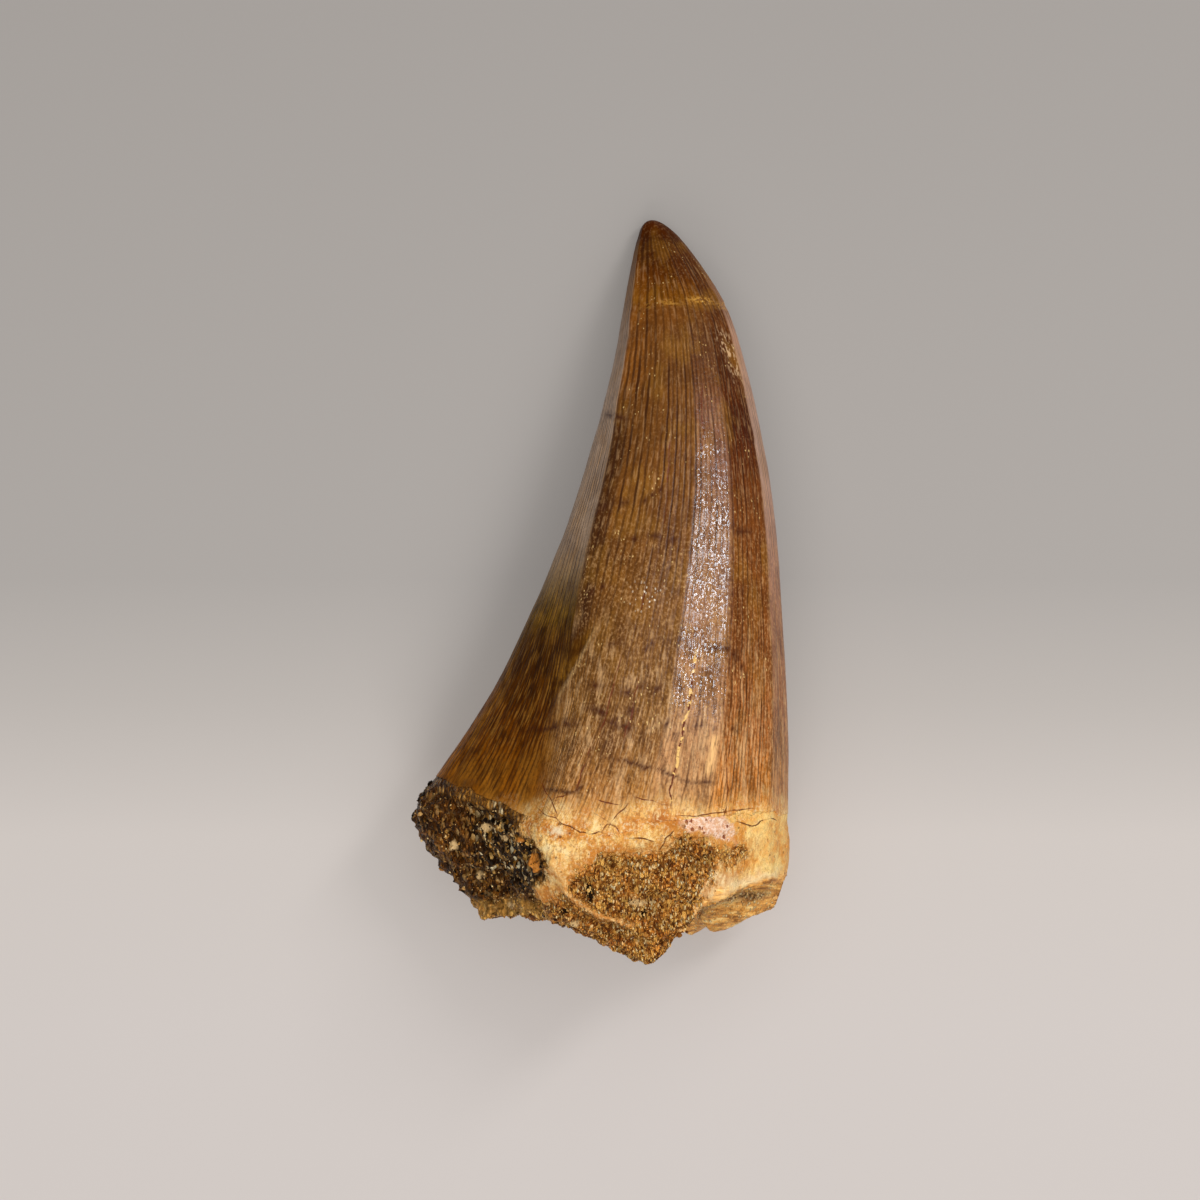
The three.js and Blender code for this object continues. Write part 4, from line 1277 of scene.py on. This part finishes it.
# Bone of the root: cheek, pores, pink and white spots, splinter, stains and the worn rim.
def root_bone(f, bone, blotch, grain, streaky):
    cheek = f.mix(f.remap(blotch, 0.4, 0.6), paint(240, 168, 74), paint(255, 218, 134))
    bone = f.mix(f.times(f.attribute("front_cheek"), 0.6), bone, cheek)
    bone = f.mix(f.times(f.attribute("bright"), 0.7), bone, paint(255, 234, 184))
    pores = f.add("ShaderNodeTexVoronoi", {"Vector": f.plan, "Scale": 1.5})
    pore = f.times(f.remap(pores.outputs["Distance"], 0.2, 0.1), f.remap(blotch, 0.55, 0.45))
    pink = f.mix(f.remap(grain, 0.4, 0.62), paint(226, 170, 132), paint(250, 218, 194))
    pink_pores = f.add("ShaderNodeTexVoronoi", {"Vector": f.plan, "Scale": 1.7})
    pore_gap = f.math("MULTIPLY_ADD", f.minus(streaky, 0.5), 1.2, pink_pores.outputs["Distance"])
    pink = f.mix(f.remap(pore_gap, 0.32, 0.2), pink, paint(136, 70, 46))
    bone = f.mix(f.times(pore, 0.7), bone, paint(96, 44, 12))
    bone = f.mix(f.times(f.attribute("pink"), f.remap(blotch, 0.38, 0.52, 0.55, 1.0)), bone, pink)
    bone = f.mix(f.times(f.attribute("white"), 0.8), bone, paint(240, 218, 180))
    shard = f.mix(f.remap(grain, 0.4, 0.6), paint(224, 160, 80), paint(254, 222, 156))
    bone = f.mix(f.times(f.attribute("splinter"), 0.85), bone, shard)
    bone = f.mix(f.times(f.attribute("stained"), f.remap(streaky, 0.36, 0.6, 0.3, 0.9)), bone,
                 paint(190, 118, 46))
    streaked = f.stretched(0.7, 2.6, detail=4.0, roughness=0.65)
    worn = f.ramp(streaked, [
        (0.36, paint(140, 92, 46)), (0.46, paint(206, 142, 72)), (0.55, paint(244, 182, 96)),
        (0.66, paint(255, 222, 150))])
    in_groove = f.mix(f.remap(grain, 0.42, 0.58), paint(60, 38, 20), paint(170, 134, 92))
    worn = f.mix(f.times(f.attribute("rim_groove"), 0.95), worn, in_groove)
    bone = f.mix(f.attribute("worn_rim"), bone, worn)
    return bone, pore


# Sandstone: packed grains, golden on the lip side and black and amber under the rear flank.
def sandstone(f, blotch, grain):
    fine_tone, fine_gap = packed_grains(f, 7.0)
    large_tone, large_gap = packed_grains(f, 3.6)
    in_dark = f.attribute("dark_rock")
    tone = f.blend(in_dark, fine_tone, large_tone)
    gap = f.blend(in_dark, fine_gap, large_gap)
    coarse_tone, coarse_gap = packed_grains(f, 2.3)
    coarse = f.times(f.remap(coarse_tone, 0.87, 0.9), f.remap(coarse_gap, 0.46, 0.4))
    tone = f.blend(coarse, tone, f.math("MULTIPLY_ADD", coarse_tone, 2.0, -1.05))
    shade_between_grains = f.times(f.remap(gap, 0.34, 0.6, 0.0, 0.55), f.minus(1.0, coarse))
    sand = f.ramp(tone, [
        (0.0, paint(46, 18, 4)), (0.2, paint(110, 58, 16)), (0.4, paint(174, 110, 42)),
        (0.64, paint(220, 154, 68)), (0.86, paint(244, 188, 98)), (1.0, paint(255, 232, 178))])
    rusty = f.remap(f.noise(f.plan, scale=0.8, detail=3.0), 0.45, 0.62, 0.0, 0.5)
    sand = f.mix(rusty, sand, f.mix(1.0, sand, paint(255, 196, 116), "MULTIPLY"))
    amber_rock = f.ramp(tone, [
        (0.0, paint(14, 6, 1)), (0.35, paint(50, 24, 3)), (0.62, paint(92, 50, 10)),
        (0.84, paint(156, 96, 32)), (1.0, paint(240, 186, 104))])
    streaks = f.stretched(4.2, 1.1, detail=3.0, roughness=0.7)
    amber_rock = f.mix(0.55, amber_rock, f.ramp(streaks, [
        (0.42, paint(8, 3, 1)), (0.51, paint(56, 26, 4)), (0.58, paint(126, 72, 16)),
        (0.66, paint(226, 164, 76))]))
    black_rock = f.ramp(tone, [
        (0.0, paint(3, 2, 1)), (0.5, paint(10, 5, 1)), (0.62, paint(66, 38, 8)),
        (0.75, paint(160, 108, 36)), (0.87, paint(236, 184, 98)), (1.0, paint(255, 240, 196))])
    dark = f.mix(f.attribute("black_rock"), amber_rock, black_rock)
    low_rock = f.mix(0.5, sand, paint(250, 196, 100))
    rim_line = f.math("MULTIPLY_ADD", f.minus(blotch, 0.5), 5.0, f.plan_y)
    dark = f.mix(f.remap(rim_line, 5.6, 4.4, 0.0, 0.9), dark, low_rock)
    by_enamel = f.times(
        f.attribute("near_enamel"), f.remap(blotch, 0.42, 0.5, 0.2, 0.9), f.remap(f.plan_x, -12.6, -11.0))
    dark = f.mix(by_enamel, dark, f.mix(f.remap(grain, 0.4, 0.6), paint(104, 60, 12), paint(168, 114, 40)))
    rock = f.mix(in_dark, sand, dark)
    # Painted shade: the gaps between grains and the sunken hollows are darkened towards ROCK_SHADE.
    sunk = f.remap(f.attribute("relief"), -0.05, -0.45, 0.0, 0.6)
    rock = f.mix(f.math("MAXIMUM", shade_between_grains, sunk), rock, ROCK_SHADE)
    return rock, tone, gap


def root_finish():
    f = Finish("fossil root")
    bone, blotch, grain, streaky = bone_colour(f)
    bone, pore = root_bone(f, bone, blotch, grain, streaky)
    rock, tone, gap = sandstone(f, blotch, grain)
    rock_edge = f.plus(f.attribute("rock"), f.times(f.minus(tone, 0.5), 0.9))
    is_rock = f.remap(rock_edge, 0.3, 0.7)
    colour = f.mix(is_rock, bone, rock)
    amber = f.mix(grain, paint(156, 84, 16), paint(224, 150, 66))
    pale = f.mix(grain, paint(170, 130, 76), paint(240, 206, 150))
    inner = f.mix(f.remap(tone, 0.7, 0.9), paint(34, 18, 8), PALE_MINERAL)
    for name, shade in (("amber_pebble", amber), ("pale_pebble", pale), ("hole", inner)):
        colour = f.mix(f.attribute(name), colour, shade)
    waning = f.remap(f.noise(f.plan, scale=0.9, detail=2.0), 0.36, 0.52, 0.25, 0.9)
    crack = f.times(f.thin_line("crack", 0.065), f.attribute("crack_strength"), waning)
    colour = f.mix(crack, colour, CRACK_BROWN)
    roughness = f.blend(is_rock, 0.5, f.remap(tone, 0.2, 0.8, 0.45, 0.2))
    height = f.plus(grain, f.times(blotch, 1.2))
    height = f.minus(height, f.times(f.plus(crack, pore), 0.5))
    height = f.times(height, f.math("MULTIPLY_ADD", f.attribute("worn_rim"), -0.7, 1.0))
    height = f.blend(is_rock, height, f.math("MULTIPLY_ADD", gap, -1.6, f.times(grain, 0.8)))
    return f.finish(colour, roughness, height, 0.12, **{
        "IOR": 1.5, "Specular IOR Level": 0.22, "Specular Tint": AMBER_SHEEN})


def grain_finish():
    f = Finish("strewn grains")
    tone = f.attribute("tone")
    sand = f.ramp(tone, [
        (0.0, paint(48, 22, 6)), (0.25, paint(116, 66, 22)), (0.55, paint(180, 120, 52)),
        (0.8, paint(214, 156, 80)), (1.0, paint(248, 210, 144))])
    dark = f.ramp(tone, [
        (0.0, paint(6, 3, 1)), (0.5, paint(18, 9, 2)), (0.68, paint(90, 50, 10)),
        (0.84, paint(196, 136, 52)), (1.0, paint(255, 226, 160))])
    in_dark = f.times(f.attribute("dark_rock"), f.remap(f.plan_y, 4.4, 5.6, 0.2, 1.0))
    colour = f.mix(in_dark, sand, dark)
    mottle = f.noise(f.plan, scale=5.0, detail=2.0)
    colour = f.mix(f.remap(mottle, 0.35, 0.65, 0.0, 0.4), colour, paint(150, 98, 48), "MULTIPLY")
    return f.finish(colour, f.remap(mottle, 0.3, 0.7, 0.15, 0.4), mottle, 0.03, **{
        "IOR": 1.5, "Specular IOR Level": 0.3, "Specular Tint": AMBER_SHEEN})


# The floor glows a little of its own, like a light table, which keeps its shadows faint. Its colour is
# painted darker towards the tooth's tip, a painted fall-off of light.
FLOOR_SHADE = (0.6, 0.6, 0.6, 1.0)
FLOOR_GLOW = 0.47
FLOOR_REACH = 3.0  # metres each way
FLOOR_DROP = 0.00002  # metres below the tooth


def floor_finish():
    f = Finish("pale floor")
    colour = f.lengthwise([
        (-6.0, paint(196, 189, 185)), (10.0, paint(194, 187, 182)), (21.0, paint(176, 170, 165)),
        (31.0, paint(162, 157, 153)), (77.0, paint(155, 150, 146))])
    matt = f.mix(1.0, colour, FLOOR_SHADE, "MULTIPLY")
    return f.finish(matt, 0.8, 0.0, 0.01, **{"Emission Color": colour, "Emission Strength": FLOOR_GLOW})


# Relief that the rib tree adds to the enamel, and the two sizes of grain: how many lie on a square
# millimetre of rock, their radius, and how many sides they have.
RIB_HEIGHT_PER_SPACING = 0.01
ENAMEL_PEBBLE = 0.05
GRAINS = {
    "fine_grains": dict(per_square_mm=10.0, seed=11, smallest=0.05, largest=0.11, roundness=3),
    "coarse_grains": dict(per_square_mm=0.5, seed=23, smallest=0.11, largest=0.26, roundness=4),
}

# Builds the pieces.
crown = make_crown()
root = make_root()
rib_nodes, rib_inputs = rib_tree()
grain_nodes, grain_inputs = grain_tree()
grain_material = grain_finish()


def strew(name, per_square_mm, seed, smallest, largest, roundness):
    mesh = grow(root, name, grain_nodes, grain_inputs, {
        "Grains per area": per_square_mm / (MM * MM), "Seed": seed, "Smallest": smallest * MM,
        "Largest": largest * MM, "Roundness": roundness, "Material": grain_material})
    strewn = bpy.data.objects.new(name, mesh)
    bpy.context.scene.collection.objects.link(strewn)
    return strewn


crown.data = grow(crown, "enamel_crown", rib_nodes, rib_inputs, {
    "Rib height": RIB_HEIGHT_PER_SPACING * MM, "Pebble height": ENAMEL_PEBBLE * MM,
    "Material": enamel_finish()})
grains = [strew(name, **settings) for name, settings in GRAINS.items()]
root.data.materials.append(root_finish())

for piece in (crown, root, *grains):
    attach(piece, BODY)
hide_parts(NODE)


# Floor, lights and camera.
def make_floor():
    mesh = bpy.data.meshes.new("floor")
    signs = ((-1, -1), (1, -1), (1, 1), (-1, 1))
    corners = [(x * FLOOR_REACH, y * FLOOR_REACH, -FLOOR_DROP) for x, y in signs]
    mesh.from_pydata(corners, [], [(0, 1, 2, 3)])
    mesh.materials.append(floor_finish())
    floor = bpy.data.objects.new("floor", mesh)
    bpy.context.scene.collection.objects.link(floor)


def make_light(name, place, size, power, colour):
    data = bpy.data.lights.new(name, "AREA")
    data.shape = "RECTANGLE"
    data.size, data.size_y = size
    data.energy = power
    data.color = colour
    light = bpy.data.objects.new(name, data)
    light.location = place
    direction = Vector(LIT_POINT) - Vector(place)
    light.rotation_euler = direction.to_track_quat("-Z", "Y").to_euler()
    bpy.context.scene.collection.objects.link(light)
    return light


def make_camera():
    data = bpy.data.cameras.new("camera")
    data.lens = LENS
    data.sensor_width = SENSOR_WIDTH
    distance = PICTURE_WIDTH * data.lens / data.sensor_width
    camera = bpy.data.objects.new("camera", data)
    middle = np.array(PHOTO_MIDDLE) + PLAN_SHIFT[:2]
    camera.location = (middle[0] * MM, middle[1] * MM, (SILHOUETTE_HEIGHT + distance) * MM)
    bpy.context.scene.collection.objects.link(camera)
    bpy.context.scene.camera = camera


# Lights, with places and sizes in metres and power in watts.
LIT_POINT = (0.002, 0.0, 0.012)
LIGHTS = {
    "key": dict(place=(0.28, 0.24, 0.42), size=(0.085, 0.24), power=1.0, colour=(1.0, 0.99, 0.99)),
    "fill": dict(place=(0.02, -0.38, 0.34), size=(0.25, 0.16), power=0.8, colour=(1.0, 0.97, 0.93)),
    "overhead": dict(place=(0.08, 0.05, 0.7), size=(1.0, 1.0), power=5.2, colour=(1.0, 1.0, 1.0)),
}
AIR_COLOUR = paint(228, 222, 216)
AIR_LIGHT = 0.12


def make_world():
    world = bpy.data.worlds.new("studio air")
    world.use_nodes = True
    background = world.node_tree.nodes["Background"].inputs
    background["Color"].default_value = AIR_COLOUR
    background["Strength"].default_value = AIR_LIGHT
    bpy.context.scene.world = world


make_floor()
make_camera()
lights = {name: make_light(name, **settings) for name, settings in LIGHTS.items()}
lights["overhead"].visible_glossy = False
make_world()
bpy.context.scene.view_settings.view_transform = "Standard"
